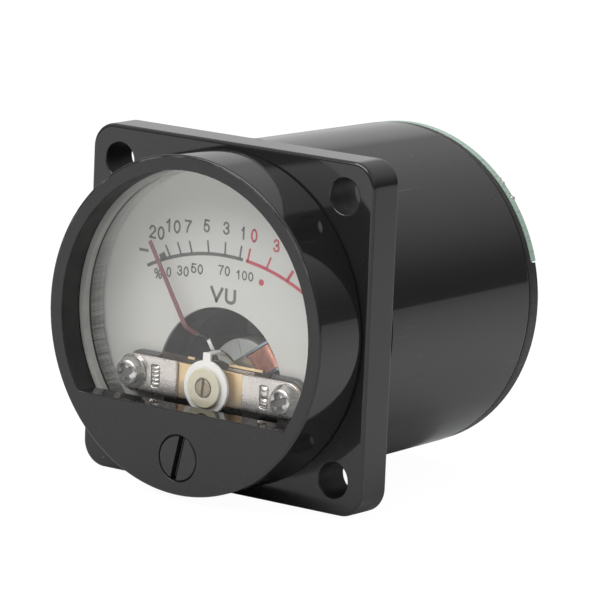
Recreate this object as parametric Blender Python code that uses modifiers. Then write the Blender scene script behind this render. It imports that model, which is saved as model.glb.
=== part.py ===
"""Panel VU meter: square flange, round case, moving-coil movement, pointer and zero adjuster.

The seating face of the flange is the plane y = 0 and the case axis is the Y axis. The dial looks
towards -Y, +X is to the right of someone reading it, and +Z is up. Sizes below are millimetres.
"""

from math import acos, asin, cos, hypot, pi, radians, sin

import bmesh
import bpy
from mathutils import Matrix, Vector

MM = 0.001
GAP = 0.3          # between touching mouldings
FINE = 0.1         # between touching pieces of the movement

BIG_STEPS = 48
MID_STEPS = 32
SMALL_STEPS = 16
TINY_STEPS = 10

# Case and flange
FLANGE_SIDE = 45.0
FLANGE_THICK = 5.3
FLANGE_CORNER = 3.3
HOLE_PITCH = 36.0
HOLE_RADIUS = 2.25
BARREL_FRONT_RADIUS = 21.95
BARREL_REAR_RADIUS = 21.5
BORE_RADIUS = 19.9
BARREL_REAR = 31.4

# Front bezel and window
BEZEL_FRONT = -14.0
BEZEL_BASE = -FLANGE_THICK - 0.25
BEZEL_RADIUS = 21.7
BEZEL_EDGE = 0.35
POCKET_RADIUS = 20.3
POCKET_FLOOR = -10.7
WINDOW_RADIUS = 19.7
WINDOW_CHORD = -10.8
LENS_FRONT = -10.6
LENS_PANE = 0.5
LENS_RADIUS = 20.0
LENS_WALL = 0.8
LENS_REAR = -6.2

# Dial and the carrier behind it
DIAL_FRONT = -5.9
DIAL_THICK = 0.5
DIAL_RADIUS = 19.6
DIAL_FOOT = -12.2
PIVOT_Z = -8.55
CUTOUT_RADIUS = 9.88
CARRIER_FRONT = -5.3
CARRIER_PLATE = 1.2
CARRIER_REAR = -1.4
CARRIER_OPENING = 10.3
CARRIER_BOSS = 2.0

# Bearing bridge in front of the dial
SCREW_X = 12.35
SCREW_Z = -8.4
SCREW_SHANK = 1.0
SCREW_HOLE = 1.15
BRIDGE_MID_Z = -8.5
PLATE_FRONT = -8.15
PLATE_THICK = 0.3
PLATE_HEIGHT = 4.9
PLATE_INNER = 5.28
PLATE_OUTER = 14.65
SLOT_X = 8.75
SLOT_SIZE = (1.4, 2.9)
BRASS_FRONT = -7.75
BRASS_THICK = 0.6
BRASS_HEIGHT = 4.6
POST_FRONT = -7.05
POST_HEIGHT = 5.5
POST_INNER = 8.9
RIB_HALF = 8.2
RIB_THICK = 0.25
RIB_SPAN_Z = (-7.1, -5.3)
HEAD_RADIUS = 2.15
HEAD_HEIGHT = 1.6
HEAD_TAPER = 0.4
RECESS_SIZE = (2.6, 0.75)
RECESS_LEAN = radians(20)

# Hub stack on the pivot axis
JEWEL_RADIUS = 1.2
JEWEL_CUP = 0.45
JEWEL_SLOT = 0.4
JEWEL_FRONT_SPAN = (-9.4, -6.9)
JEWEL_REAR_SPAN = (13.55, 17.2)
DISC_RADIUS = 2.55
DISC_SPAN = (-9.35, -8.95)
RING_RADIUS = 3.5
RING_SPAN = (-8.85, -8.4)
SHELF_REAR = -5.7
SPRING_FRONT_SPAN = (-6.3, -5.8)
SPRING_REAR_SPAN = (13.1, 13.5)

# Zero adjuster
ADJUSTER_Z = -16.9
ADJUSTER_RADIUS = 2.9
ADJUSTER_HOLE = 3.02
ADJUSTER_SHAFT = 1.7
ADJUSTER_SLOT = (0.95, 1.0)
ADJUSTER_SLOT_LEAN = radians(12.7)
PIN_OFFSET = 1.2
PIN_RADIUS = 0.45
FORK_SLOT = 1.2

# Moving coil
POINTER_ANGLE = radians(-31.5)      # clockwise from vertical, seen from the front
COIL_ANGLE = POINTER_ANGLE + radians(87)
COIL_REACH = 8.5
COIL_FRONT = -3.85
COIL_REAR = 12.2
COIL_RADIAL = 1.6
COIL_AXIAL = 1.4
COIL_HALF_WIDTH = 1.6
FORMER_WALL = 0.32
END_PLATE = 0.25
FORMER_HALF_WIDTH = 2.0
POINTER_PLANE = -7.85
POINTER_TIP = 20.3
POINTER_THICK = 0.14
POINTER_WIDTH = 0.55
SPRING_TURNS = 3.5
SPRING_STRIP = 0.12
SPRING_RADII = (0.75, 4.0)
SHAFT_RADIUS = 0.28
SHAFT_TIP = 0.12

# Magnet system
CORE_RADIUS = 5.3
CORE_SPAN = (-1.1, 9.6)
YOKE_RADII = (9.2, 10.9)
YOKE_SPAN = (-1.0, 13.8)
REAR_FRAME_SPAN = (13.9, 15.1)
PILLAR_X = 12.5
PILLAR_RADIUS = 1.3
PILLAR_SPIGOT = 0.9
NUT_RADIUS = 2.6

# Back of the case
COVER_RADIUS = 21.4
COVER_SPAN = (31.5, 32.4)
RIM_INNER = 20.95
RIM_REAR = 33.4
BOARD_RADIUS = 20.85
BOARD_SPAN = (32.5, 33.5)
ARCH_START = radians(15)            # the board is wider above this angle, where the rim stops
ARCH_GAP = radians(0.4)
STUD_X = 11.0
STUD_Z = 6.0
STUD_RADIUS = 1.5
LEAD_X = 3.0
LEAD_Z = 9.0
LEAD_RADIUS = 0.35
LAMP_X = 7.0
LAMP_RADIUS = 1.5
LAMP_BOARD_SPAN = (4.3, 5.1)
WASHER_RADIUS = 3.2
HEXAGON_RADIUS = 3.17


# ---------------------------------------------------------------- scene and materials

def clear_scene():
    for thing in list(bpy.data.objects):
        bpy.data.objects.remove(thing)


def new_collection(name):
    made = bpy.data.collections.new(name)
    bpy.context.scene.collection.children.link(made)
    return made


clear_scene()
PARTS = new_collection("vu_meter")
CUTTERS = new_collection("cutters")


def material(name, color, roughness, metallic=0.0, alpha=1.0):
    made = bpy.data.materials.new(name)
    made.use_nodes = True
    shader = made.node_tree.nodes["Principled BSDF"]
    shader.inputs["Base Color"].default_value = (*color, 1.0)
    shader.inputs["Roughness"].default_value = roughness
    shader.inputs["Metallic"].default_value = metallic
    shader.inputs["Alpha"].default_value = alpha
    return made


FINISHES = {
    "black": ((0.018, 0.017, 0.018), 0.22, 0.0),
    "dark_grey": ((0.10, 0.10, 0.10), 0.6, 0.0),
    "clear": ((0.90, 0.92, 0.91), 0.05, 0.0),
    "dial": ((0.52, 0.53, 0.49), 0.6, 0.0),
    "nickel": ((0.72, 0.70, 0.67), 0.25, 1.0),
    "brass": ((0.72, 0.52, 0.26), 0.3, 1.0),
    "steel": ((0.50, 0.49, 0.47), 0.35, 1.0),
    "cream": ((0.70, 0.67, 0.52), 0.4, 0.0),
    "white": ((0.80, 0.80, 0.78), 0.4, 0.0),
    "copper": ((0.62, 0.26, 0.18), 0.35, 1.0),
    "aluminium": ((0.60, 0.63, 0.66), 0.35, 1.0),
    "pointer": ((0.42, 0.09, 0.11), 0.5, 0.0),
    "board": ((0.24, 0.38, 0.30), 0.5, 0.0),
    "lamp": ((0.90, 0.80, 0.55), 0.3, 0.0),
    "tin": ((0.66, 0.66, 0.66), 0.35, 1.0),
}


def finish(thing, kind):
    color, roughness, metallic = FINISHES[kind]
    alpha = 0.3 if kind == "clear" else 1.0
    thing.data.materials.append(material(thing.name, color, roughness, metallic, alpha))


# ---------------------------------------------------------------- frames and outlines

def face_frame(x, z, y):
    """Local X is world X, local Y is world Z, and local Z looks at the reader (-Y)."""
    return Matrix.Translation((x * MM, y * MM, z * MM)) @ Matrix.Rotation(pi / 2, 4, "X")


def side_frame(angle, z):
    """Local X points from the pivot at a clockwise angle from vertical, local Y is world Y."""
    out = Vector((sin(angle), 0.0, cos(angle)))
    back = Vector((0.0, 1.0, 0.0))
    side = out.cross(back)
    turn = Matrix((out, back, side)).transposed().to_4x4()
    return Matrix.Translation((0.0, 0.0, z * MM)) @ turn


def arc(cx, cy, radius, start, end, steps):
    """Points of an arc, with both end angles counted counterclockwise from +X."""
    turns = (start + (end - start) * i / steps for i in range(steps + 1))
    return [(cx + radius * cos(t), cy + radius * sin(t)) for t in turns]


def circle(cx, cy, radius, steps):
    return arc(cx, cy, radius, 0.0, 2 * pi, steps)[:-1]


def rounded_box(x0, y0, x1, y1, radius, steps=4):
    points = arc(x1 - radius, y1 - radius, radius, 0.0, pi / 2, steps)
    points += arc(x0 + radius, y1 - radius, radius, pi / 2, pi, steps)
    points += arc(x0 + radius, y0 + radius, radius, pi, 3 * pi / 2, steps)
    points += arc(x1 - radius, y0 + radius, radius, 3 * pi / 2, 2 * pi, steps)
    return points


def strip_outline(path, thickness):
    """The outline of a strip of constant thickness that follows a path of points."""
    left, right = [], []
    for i, (x, y) in enumerate(path):
        before = path[max(i - 1, 0)]
        after = path[min(i + 1, len(path) - 1)]
        dx, dy = after[0] - before[0], after[1] - before[1]
        scale = thickness / 2 / hypot(dx, dy)
        left.append((x - dy * scale, y + dx * scale))
        right.append((x + dy * scale, y - dx * scale))
    return left + right[::-1]


# ---------------------------------------------------------------- solids

def mesh_object(name, curve_object, group):
    """Turn a curve object into a welded mesh object in the same place."""
    bpy.context.view_layer.update()
    graph = bpy.context.evaluated_depsgraph_get()
    mesh = bpy.data.meshes.new_from_object(curve_object.evaluated_get(graph))
    shape = bmesh.new()
    shape.from_mesh(mesh)
    bmesh.ops.remove_doubles(shape, verts=shape.verts, dist=1e-7)
    bmesh.ops.recalc_face_normals(shape, faces=shape.faces)
    shape.to_mesh(mesh)
    shape.free()
    mesh.materials.clear()
    made = bpy.data.objects.new(name, mesh)
    made.matrix_world = curve_object.matrix_world
    group.objects.link(made)
    curve = curve_object.data
    bpy.data.objects.remove(curve_object)
    bpy.data.curves.remove(curve)
    return made


def extruded(name, outlines, thickness, frame, group=None):
    """A flat outline, with any further outlines as holes, made thick about its own plane."""
    curve = bpy.data.curves.new(name + "_outline", "CURVE")
    curve.dimensions = "2D"
    curve.fill_mode = "BOTH"
    curve.extrude = thickness * MM / 2
    for points in outlines:
        spline = curve.splines.new("POLY")
        spline.points.add(len(points) - 1)
        for point, (x, y) in zip(spline.points, points):
            point.co = (x * MM, y * MM, 0.0, 1.0)
        spline.use_cyclic_u = True
    holder = bpy.data.objects.new(name + "_outline", curve)
    holder.matrix_world = frame
    PARTS.objects.link(holder)
    return mesh_object(name, holder, group or PARTS)


def plate(name, outlines, front, rear, group=None):
    """A plate parallel to the dial between two planes of y."""
    frame = face_frame(0.0, 0.0, (front + rear) / 2)
    return extruded(name, outlines, rear - front, frame, group)


def turned(name, profile, steps, x=0.0, z=0.0, closed=False, group=None):
    """A piece turned about an axis along Y; the profile lists (radius, y) from the front back."""
    mesh = bpy.data.meshes.new(name)
    shape = bmesh.new()
    verts = [shape.verts.new((r * MM, 0.0, -y * MM)) for r, y in profile]
    pairs = list(zip(verts, verts[1:]))
    if closed:
        pairs.append((verts[-1], verts[0]))
    for a, b in pairs:
        shape.edges.new((a, b))
    shape.to_mesh(mesh)
    shape.free()
    made = bpy.data.objects.new(name, mesh)
    (group or PARTS).objects.link(made)
    made.matrix_world = face_frame(x, z, 0.0)
    screw = made.modifiers.new("turn", "SCREW")
    screw.steps = screw.render_steps = steps
    screw.use_merge_vertices = True
    screw.merge_threshold = 1e-6
    return made


def disc(name, radius, front, rear, steps, x=0.0, z=0.0, group=None):
    return turned(name, [(0, front), (radius, front), (radius, rear), (0, rear)], steps, x, z, group=group)


def washer(name, inner, outer, front, rear, steps, x=0.0, z=0.0):
    profile = [(outer, front), (outer, rear), (inner, rear), (inner, front)]
    return turned(name, profile, steps, x, z, closed=True)


def block(name, size, frame, group=None):
    """A box of (x, y, z) size in millimetres, centred on a frame."""
    mesh = bpy.data.meshes.new(name)
    shape = bmesh.new()
    bmesh.ops.create_cube(shape, size=1.0)
    bmesh.ops.scale(shape, vec=[side * MM for side in size], verts=shape.verts)
    shape.to_mesh(mesh)
    shape.free()
    made = bpy.data.objects.new(name, mesh)
    made.matrix_world = frame
    (group or PARTS).objects.link(made)
    return made


def tube(name, points, radius):
    """A wire through points given in millimetres."""
    curve = bpy.data.curves.new(name + "_path", "CURVE")
    curve.dimensions = "3D"
    curve.bevel_depth = radius * MM
    curve.bevel_resolution = 1
    curve.use_fill_caps = True
    spline = curve.splines.new("POLY")
    spline.points.add(len(points) - 1)
    for point, place in zip(spline.points, points):
        point.co = (*(side * MM for side in place), 1.0)
    holder = bpy.data.objects.new(name + "_path", curve)
    PARTS.objects.link(holder)
    return mesh_object(name, holder, PARTS)


def boolean(target, tool, operation):
    """Cut or join with an object that is then kept only as a wire guide."""
    if tool.name not in CUTTERS.objects:
        for group in list(tool.users_collection):
            group.objects.unlink(tool)
        CUTTERS.objects.link(tool)
    tool.hide_render = True
    tool.display_type = "WIRE"
    step = target.modifiers.new(tool.name, "BOOLEAN")
    step.operation = operation
    step.solver = "EXACT"
    step.object = tool


def cut(target, tool):
    boolean(target, tool, "DIFFERENCE")


def join(target, tool):
    boolean(target, tool, "UNION")


def smooth(thing):
    thing.data.shade_smooth()
    thing.data.set_sharp_from_angle(angle=radians(35))


def axis_empty(name, z):
    made = bpy.data.objects.new(name, None)
    made.empty_display_size = 0.002
    PARTS.objects.link(made)
    made.location = (0.0, 0.0, z * MM)
    return made


def hang(axis, things):
    """Parent pieces to the empty on their joint's axis without moving them."""
    bpy.context.view_layer.update()
    for thing in things:
        thing.parent = axis
        thing.matrix_parent_inverse = axis.matrix_world.inverted()


# ---------------------------------------------------------------- case and window

def make_case():
    half = FLANGE_SIDE / 2
    holes = [
        circle(sx * HOLE_PITCH / 2, sz * HOLE_PITCH / 2, HOLE_RADIUS, SMALL_STEPS)
        for sx in (-1, 1)
        for sz in (-1, 1)
    ]
    outline = rounded_box(-half, -half, half, half, FLANGE_CORNER, 5)
    case = plate("case_body", [outline, *holes], -FLANGE_THICK, 0.0)
    barrel = [(0, -2.0), (BARREL_FRONT_RADIUS, -2.0), (BARREL_REAR_RADIUS, BARREL_REAR), (0, BARREL_REAR)]
    join(case, turned("case_barrel", barrel, BIG_STEPS))
    cut(case, disc("case_bore", BORE_RADIUS, -FLANGE_THICK - 2, BARREL_REAR + 2, BIG_STEPS))
    finish(case, "black")


def window_outline():
    """A circle closed below by a straight chord, from the chord's right end round to its left."""
    start = asin(WINDOW_CHORD / WINDOW_RADIUS)
    return arc(0, 0, WINDOW_RADIUS, start, pi - start, 48)


def make_bezel():
    profile = [
        (0, BEZEL_FRONT),
        (BEZEL_RADIUS - BEZEL_EDGE, BEZEL_FRONT),
        (BEZEL_RADIUS, BEZEL_FRONT + BEZEL_EDGE),
        (BEZEL_RADIUS, BEZEL_BASE),
        (POCKET_RADIUS, BEZEL_BASE),
        (POCKET_RADIUS, POCKET_FLOOR),
        (0, POCKET_FLOOR),
    ]
    bezel = turned("front_bezel", profile, BIG_STEPS)
    front, rear = BEZEL_FRONT - 2, POCKET_FLOOR + 2
    cut(bezel, plate("window_cut", [window_outline()], front, rear, CUTTERS))
    cut(bezel, disc("adjuster_cut", ADJUSTER_HOLE, front, rear, MID_STEPS, z=ADJUSTER_Z))
    finish(bezel, "black")


def make_lens():
    profile = [
        (0, LENS_FRONT),
        (LENS_RADIUS, LENS_FRONT),
        (LENS_RADIUS, LENS_REAR),
        (LENS_RADIUS - LENS_WALL, LENS_REAR),
        (LENS_RADIUS - LENS_WALL, LENS_FRONT + LENS_PANE),
        (0, LENS_FRONT + LENS_PANE),
    ]
    lens = turned("window_lens", profile, BIG_STEPS)
    hole = ADJUSTER_SHAFT + 0.15
    cut(lens, disc("lens_hole_cut", hole, LENS_FRONT - 2, LENS_REAR, SMALL_STEPS, z=ADJUSTER_Z))
    finish(lens, "clear")


# ---------------------------------------------------------------- dial and carrier

def dial_outline():
    """A disc with a straight foot and a round cut-out about the pivot, open at the foot."""
    start = asin(DIAL_FOOT / DIAL_RADIUS)
    drop = (DIAL_FOOT - PIVOT_Z) / CUTOUT_RADIUS
    inner = asin(drop)
    outer = arc(0, 0, DIAL_RADIUS, start, pi - start, 48)
    return outer + arc(0, PIVOT_Z, CUTOUT_RADIUS, pi - inner, inner, 32)


def screw_holes(radius):
    return [circle(side * SCREW_X, SCREW_Z, radius, SMALL_STEPS) for side in (-1, 1)]


def make_dial():
    outlines = [dial_outline(), *screw_holes(SCREW_SHANK + 0.3)]
    dial = plate("dial_plate", outlines, DIAL_FRONT, DIAL_FRONT + DIAL_THICK)
    finish(dial, "dial")


def make_carrier():
    plate_rear = CARRIER_FRONT + CARRIER_PLATE
    lamp_windows = [circle(side * LAMP_X, LEAD_Z, 2.4, SMALL_STEPS) for side in (-1, 1)]
    outlines = [circle(0, 0, DIAL_RADIUS, BIG_STEPS), *lamp_windows]
    carrier = plate("movement_carrier", outlines, CARRIER_FRONT, plate_rear)
    inside = CARRIER_FRONT + 0.4
    beyond = (CARRIER_FRONT - 2, CARRIER_REAR + 2)
    join(carrier, disc("carrier_wall", YOKE_RADII[1], inside, CARRIER_REAR, BIG_STEPS, z=PIVOT_Z))
    for label, side in (("left", -1), ("right", 1)):
        x = side * SCREW_X
        boss = disc(f"carrier_boss_{label}", CARRIER_BOSS, inside, CARRIER_REAR, MID_STEPS, x, SCREW_Z)
        join(carrier, boss)
        cut(carrier, disc(f"boss_hole_{label}", SCREW_HOLE, *beyond, SMALL_STEPS, x, SCREW_Z))
    cut(carrier, disc("carrier_opening", CARRIER_OPENING, *beyond, BIG_STEPS, z=PIVOT_Z))
    finish(carrier, "dark_grey")


# ---------------------------------------------------------------- bearing bridge

def end_outline(inner, outer, height):
    """A bar from x = inner, straight at that end and rounded at x = outer."""
    radius = height / 2 - 0.2
    top = BRIDGE_MID_Z + height / 2
    low = BRIDGE_MID_Z - height / 2
    points = [(inner, low)]
    points += arc(outer - radius, low + radius, radius, -pi / 2, 0.0, 8)
    points += arc(outer - radius, top - radius, radius, 0.0, pi / 2, 8)
    points.append((inner, top))
    return points


def mirrored(points, side):
    return [(side * x, y) for x, y in points]


def make_bridge():
    brass = end_outline(0.0, PLATE_OUTER - 0.4, BRASS_HEIGHT)
    brass = brass[1:-1] + mirrored(brass[1:-1], -1)[::-1]
    jewel_hole = circle(0, PIVOT_Z, JEWEL_RADIUS + 0.05, SMALL_STEPS)
    outlines = [brass, jewel_hole, *screw_holes(SCREW_HOLE)]
    rear = BRASS_FRONT + BRASS_THICK
    bridge = plate("bearing_bridge", outlines, BRASS_FRONT, rear)
    rib = rounded_box(-RIB_HALF, RIB_SPAN_Z[0], RIB_HALF, RIB_SPAN_Z[1], 0.2)
    join(bridge, plate("bridge_rib", [rib], rear - RIB_THICK, rear))
    finish(bridge, "brass")
    for label, side in (("left", -1), ("right", 1)):
        make_bridge_end(label, side)


def slot_outline(side, shrink, corner):
    """The slot in a plate's middle, or the tab in it when shrunk all round."""
    width, height = SLOT_SIZE[0] / 2 - shrink, SLOT_SIZE[1] / 2 - shrink
    x, z = side * SLOT_X, BRIDGE_MID_Z
    return rounded_box(x - width, z - height, x + width, z + height, corner, 3)


def make_bridge_end(label, side):
    hole = circle(side * SCREW_X, SCREW_Z, SCREW_HOLE, SMALL_STEPS)
    outline = mirrored(end_outline(PLATE_INNER, PLATE_OUTER, PLATE_HEIGHT), side)
    outlines = [outline, hole, slot_outline(side, 0.0, 0.4)]
    end = plate(f"bridge_plate_{label}", outlines, PLATE_FRONT, PLATE_FRONT + PLATE_THICK)
    finish(end, "nickel")

    tab = slot_outline(side, FINE, 0.35)
    piece = plate(f"bridge_tab_{label}", [tab], PLATE_FRONT - 0.05, BRASS_FRONT - 0.05)
    finish(piece, "nickel")

    outline = mirrored(end_outline(POST_INNER, PLATE_OUTER, POST_HEIGHT), side)
    post = plate(f"bridge_post_{label}", [outline, hole], POST_FRONT, DIAL_FRONT - FINE)
    finish(post, "dark_grey")
    make_screw(label, side)


def make_screw(label, side):
    """Pan-head screw with a cross recess, from the bridge into the carrier."""
    seat, tip = PLATE_FRONT - 0.08, CARRIER_REAR - 0.2
    front = seat - HEAD_HEIGHT
    rim = HEAD_RADIUS - HEAD_TAPER
    dome = [(0, front), (rim - 0.7, front + 0.06), (rim - 0.2, front + 0.25), (rim, front + 0.55)]
    shank = [(HEAD_RADIUS, seat), (SCREW_SHANK, seat), (SCREW_SHANK, tip), (0, tip)]
    screw = turned(f"bridge_screw_{label}", dome + shank, 24, side * SCREW_X, SCREW_Z)
    length, width = RECESS_SIZE
    frame = face_frame(side * SCREW_X, SCREW_Z, front + 0.05) @ Matrix.Rotation(RECESS_LEAN, 4, "Z")
    for name, size in (("a", (length, width, 1.0)), ("b", (width, length, 1.0))):
        cut(screw, block(f"recess_{label}_{name}", size, frame, CUTTERS))
    finish(screw, "steel")


# ---------------------------------------------------------------- hub, regulator and adjuster

def make_jewel_screw(name, front, rear, slot_at, slot_depth):
    screw = disc(name, JEWEL_RADIUS, front, rear, MID_STEPS, z=PIVOT_Z)
    slot = (JEWEL_SLOT, 3 * JEWEL_RADIUS, 2 * slot_depth)
    cut(screw, block(name + "_slot", slot, face_frame(0, PIVOT_Z, slot_at), CUTTERS))
    cup_at = rear if slot_at == front else front
    cut(screw, disc(name + "_cup", JEWEL_CUP, cup_at - 0.5, cup_at + 0.5, TINY_STEPS, z=PIVOT_Z))
    finish(screw, "brass")


def regulator_outline():
    """Ring with a short tab above and a forked arm below, in the plane of the dial."""
    ring = RING_RADIUS
    tab_half, tab_top = 0.6, PIVOT_Z + 4.5
    arm_half, fork_half = 0.9, 1.5
    fork_top, fork_end = ADJUSTER_Z + 2.6, ADJUSTER_Z - 0.3
    pin_z = ADJUSTER_Z + PIN_OFFSET
    tab_turn = acos(tab_half / ring)
    arm_turn = acos(arm_half / ring)
    points = [(tab_half, tab_top), (-tab_half, tab_top)]
    points += arc(0, PIVOT_Z, ring, pi - tab_turn, pi + arm_turn, 14)
    points += [(-arm_half, fork_top), (-fork_half, fork_top - 0.55), (-fork_half, fork_end)]
    points += [(-FORK_SLOT / 2, fork_end), (-FORK_SLOT / 2, pin_z + 0.7)]
    points += [(FORK_SLOT / 2, pin_z + 0.7), (FORK_SLOT / 2, fork_end)]
    points += [(fork_half, fork_end), (fork_half, fork_top - 0.55), (arm_half, fork_top)]
    points += arc(0, PIVOT_Z, ring, -arm_turn, tab_turn, 14)
    return points


def make_regulator():
    bore = circle(0, PIVOT_Z, JEWEL_RADIUS + FINE, SMALL_STEPS)
    arm = plate("regulator_arm", [regulator_outline(), bore], *RING_SPAN)
    front, rear = RING_SPAN[0] + FINE, SHELF_REAR
    frame = face_frame(0.0, PIVOT_Z + 4.3, (front + rear) / 2)
    shelf = block("regulator_shelf", (1.0, 0.3, rear - front), frame, CUTTERS)
    join(arm, shelf)
    finish(arm, "white")
    return arm


def spiral_outline(inner, outer, turns, steps_per_turn=14):
    """A flat spiral strip seen along its axis; it ends at the top."""
    count = int(turns * steps_per_turn)
    path = []
    for i in range(count + 1):
        share = i / count
        radius = inner + (outer - inner) * share
        turn = pi / 2 - 2 * pi * turns * (1 - share)
        path.append((radius * cos(turn), PIVOT_Z + radius * sin(turn)))
    return strip_outline(path, SPRING_STRIP)


def make_hairspring(name, front, rear):
    spring = plate(name, [spiral_outline(*SPRING_RADII, SPRING_TURNS)], front, rear)
    finish(spring, "brass")
    return spring


def make_hub():
    washer_disc = washer("lock_disc", JEWEL_RADIUS + FINE, DISC_RADIUS, *DISC_SPAN, MID_STEPS, z=PIVOT_Z)
    finish(washer_disc, "cream")
    make_jewel_screw("jewel_screw_front", *JEWEL_FRONT_SPAN, JEWEL_FRONT_SPAN[0], 0.45)


def make_adjuster():
    head_rear = POCKET_FLOOR - 0.6
    shaft_rear = LENS_FRONT + LENS_PANE + 0.5
    profile = [
        (0, BEZEL_FRONT + 0.02),
        (ADJUSTER_RADIUS - 0.15, BEZEL_FRONT + 0.02),
        (ADJUSTER_RADIUS, BEZEL_FRONT + 0.17),
        (ADJUSTER_RADIUS, head_rear),
        (ADJUSTER_SHAFT, head_rear),
        (ADJUSTER_SHAFT, shaft_rear),
        (0, shaft_rear),
    ]
    knob = turned("zero_adjuster", profile, MID_STEPS, z=ADJUSTER_Z)
    pin_z = ADJUSTER_Z + PIN_OFFSET
    join(knob, disc("adjuster_pin", PIN_RADIUS, shaft_rear - 0.4, RING_SPAN[1] + 0.2, TINY_STEPS, z=pin_z))
    width, depth = ADJUSTER_SLOT
    frame = face_frame(0, ADJUSTER_Z, BEZEL_FRONT) @ Matrix.Rotation(-ADJUSTER_SLOT_LEAN, 4, "Z")
    cut(knob, block("adjuster_slot", (width, 8.0, 2 * depth), frame, CUTTERS))
    finish(knob, "black")
    bore, rim, clip_front = ADJUSTER_SHAFT + 0.06, 2.15, LENS_FRONT + LENS_PANE + FINE
    clip = washer("adjuster_clip", bore, rim, clip_front, clip_front + 0.3, MID_STEPS, z=ADJUSTER_Z)
    finish(clip, "white")
    return [knob, clip]


# ---------------------------------------------------------------- moving coil

def loop(name, outer, inner, half_width, corner, inner_corner, group=None):
    """A rectangular loop round the core; its sides are given as (reach, front, rear)."""
    outlines = []
    for (reach, front, rear), radius in ((outer, corner), (inner, inner_corner)):
        outlines.append(rounded_box(-reach, front, reach, rear, radius, 4))
    return extruded(name, outlines, 2 * half_width, side_frame(COIL_ANGLE, PIVOT_Z), group)


def make_coil():
    outer = (COIL_REACH, COIL_FRONT, COIL_REAR)
    inner = (COIL_REACH - COIL_RADIAL, COIL_FRONT + COIL_AXIAL, COIL_REAR - COIL_AXIAL)
    winding = loop("coil_winding", outer, inner, COIL_HALF_WIDTH, 1.4, 0.5)
    finish(winding, "copper")

    slack = 0.08
    seat = (inner[0] - slack, inner[1] + slack, inner[2] - slack)
    rim = (outer[0] + FINE, outer[1] - FINE, outer[2] + FINE)
    inside = (seat[0] - FORMER_WALL, seat[1] + FORMER_WALL, seat[2] - FORMER_WALL)
    former = loop("coil_former", rim, inside, FORMER_HALF_WIDTH, 1.5, 0.6)
    beyond = (rim[0] + 1, rim[1] - 1, rim[2] + 1)
    cut(former, loop("former_groove", beyond, seat, COIL_HALF_WIDTH + slack, 0.5, 0.5, CUTTERS))
    finish(former, "aluminium")
    return [winding, former]


def along(angle, x0, x1, half_width, radius):
    """A rounded bar along a clockwise angle from vertical, about the pivot, seen from the front."""
    points = rounded_box(x0, -half_width, x1, half_width, radius, 4)
    s, c = sin(angle), cos(angle)
    return [(x * s - y * c, PIVOT_Z + x * c + y * s) for x, y in points]


def make_coil_ends():
    front = COIL_FRONT - 2 * FINE
    rear = COIL_REAR + 2 * FINE
    bar = along(COIL_ANGLE, -4.8, 4.8, 1.85, 1.2)
    front_plate = plate("coil_plate_front", [bar], front - END_PLATE, front)
    rear_plate = plate("coil_plate_rear", [bar], rear, rear + END_PLATE)
    finish(front_plate, "aluminium")
    finish(rear_plate, "aluminium")
    return [front_plate, rear_plate, *make_pivots(front - END_PLATE - FINE, rear + END_PLATE + FINE)]


def make_pivots(front, rear):
    """Cone-ended pivots on the coil's end plates, each with a boss as its foot."""
    tip = JEWEL_FRONT_SPAN[1] - 0.25
    profile = [(0, tip), (SHAFT_TIP, tip + 0.05), (SHAFT_RADIUS, tip + 0.45), (SHAFT_RADIUS, front - 0.55)]
    profile += [(0.6, front - 0.5), (1.0, front - 0.4), (1.0, front), (0, front)]
    pivot_front = turned("pivot_front", profile, TINY_STEPS, z=PIVOT_Z)
    tip = JEWEL_REAR_SPAN[0] + 0.45
    profile = [(0, rear), (0.7, rear), (0.7, rear + 0.3), (SHAFT_RADIUS, rear + 0.35)]
    profile += [(SHAFT_RADIUS, tip - 0.25), (SHAFT_TIP, tip - 0.05), (0, tip)]
    pivot_rear = turned("pivot_rear", profile, TINY_STEPS, z=PIVOT_Z)
    finish(pivot_front, "steel")
    finish(pivot_rear, "steel")
    return [pivot_front, pivot_rear]


def make_pointer():
    root_y = COIL_FRONT - 3 * FINE - END_PLATE - POINTER_THICK / 2
    path = [(1.3, root_y), (6.2, root_y), (6.7, root_y - 0.5), (7.9, POINTER_PLANE + 0.5)]
    path += [(8.6, POINTER_PLANE), (POINTER_TIP, POINTER_PLANE)]
    frame = side_frame(POINTER_ANGLE, PIVOT_Z)
    pointer = extruded("pointer", [strip_outline(path, POINTER_THICK)], POINTER_WIDTH, frame)
    finish(pointer, "pointer")
    return [pointer, *make_balance(root_y)]


def make_balance(root_y):
    front, rear = root_y - POINTER_THICK / 2, root_y + POINTER_THICK / 2
    pieces = []
    for label, angle, reach in (("tail", POINTER_ANGLE + pi, 5.4), ("side", POINTER_ANGLE - pi / 2, 5.0)):
        arm = plate(f"balance_arm_{label}", [along(angle, 1.3, reach, 0.22, 0.1)], front, rear)
        finish(arm, "aluminium")
        out = reach - 1.1
        x, z = out * sin(angle), PIVOT_Z + out * cos(angle)
        ring = disc(f"balance_weight_{label}", 0.55, front - 0.85, front - 0.08, TINY_STEPS, x, z)
        finish(ring, "tin")
        pieces += [arm, ring]
    return pieces


# ---------------------------------------------------------------- magnet system

def make_magnet():
    core = disc("core_magnet", CORE_RADIUS, *CORE_SPAN, MID_STEPS, z=PIVOT_Z)
    finish(core, "nickel")
    yoke = washer("yoke_ring", *YOKE_RADII, *YOKE_SPAN, BIG_STEPS, z=PIVOT_Z)
    finish(yoke, "steel")
    inner, outer = CORE_RADIUS + 0.15, YOKE_RADII[0] - 0.15
    for label, side in (("upper", 1), ("lower", -1)):
        z = PIVOT_Z + side * (inner + outer) / 2
        arm = block(f"core_arm_{label}", (2.6, 7.0, outer - inner), Matrix.Translation((0, 4.5 * MM, z * MM)))
        finish(arm, "brass")


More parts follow.
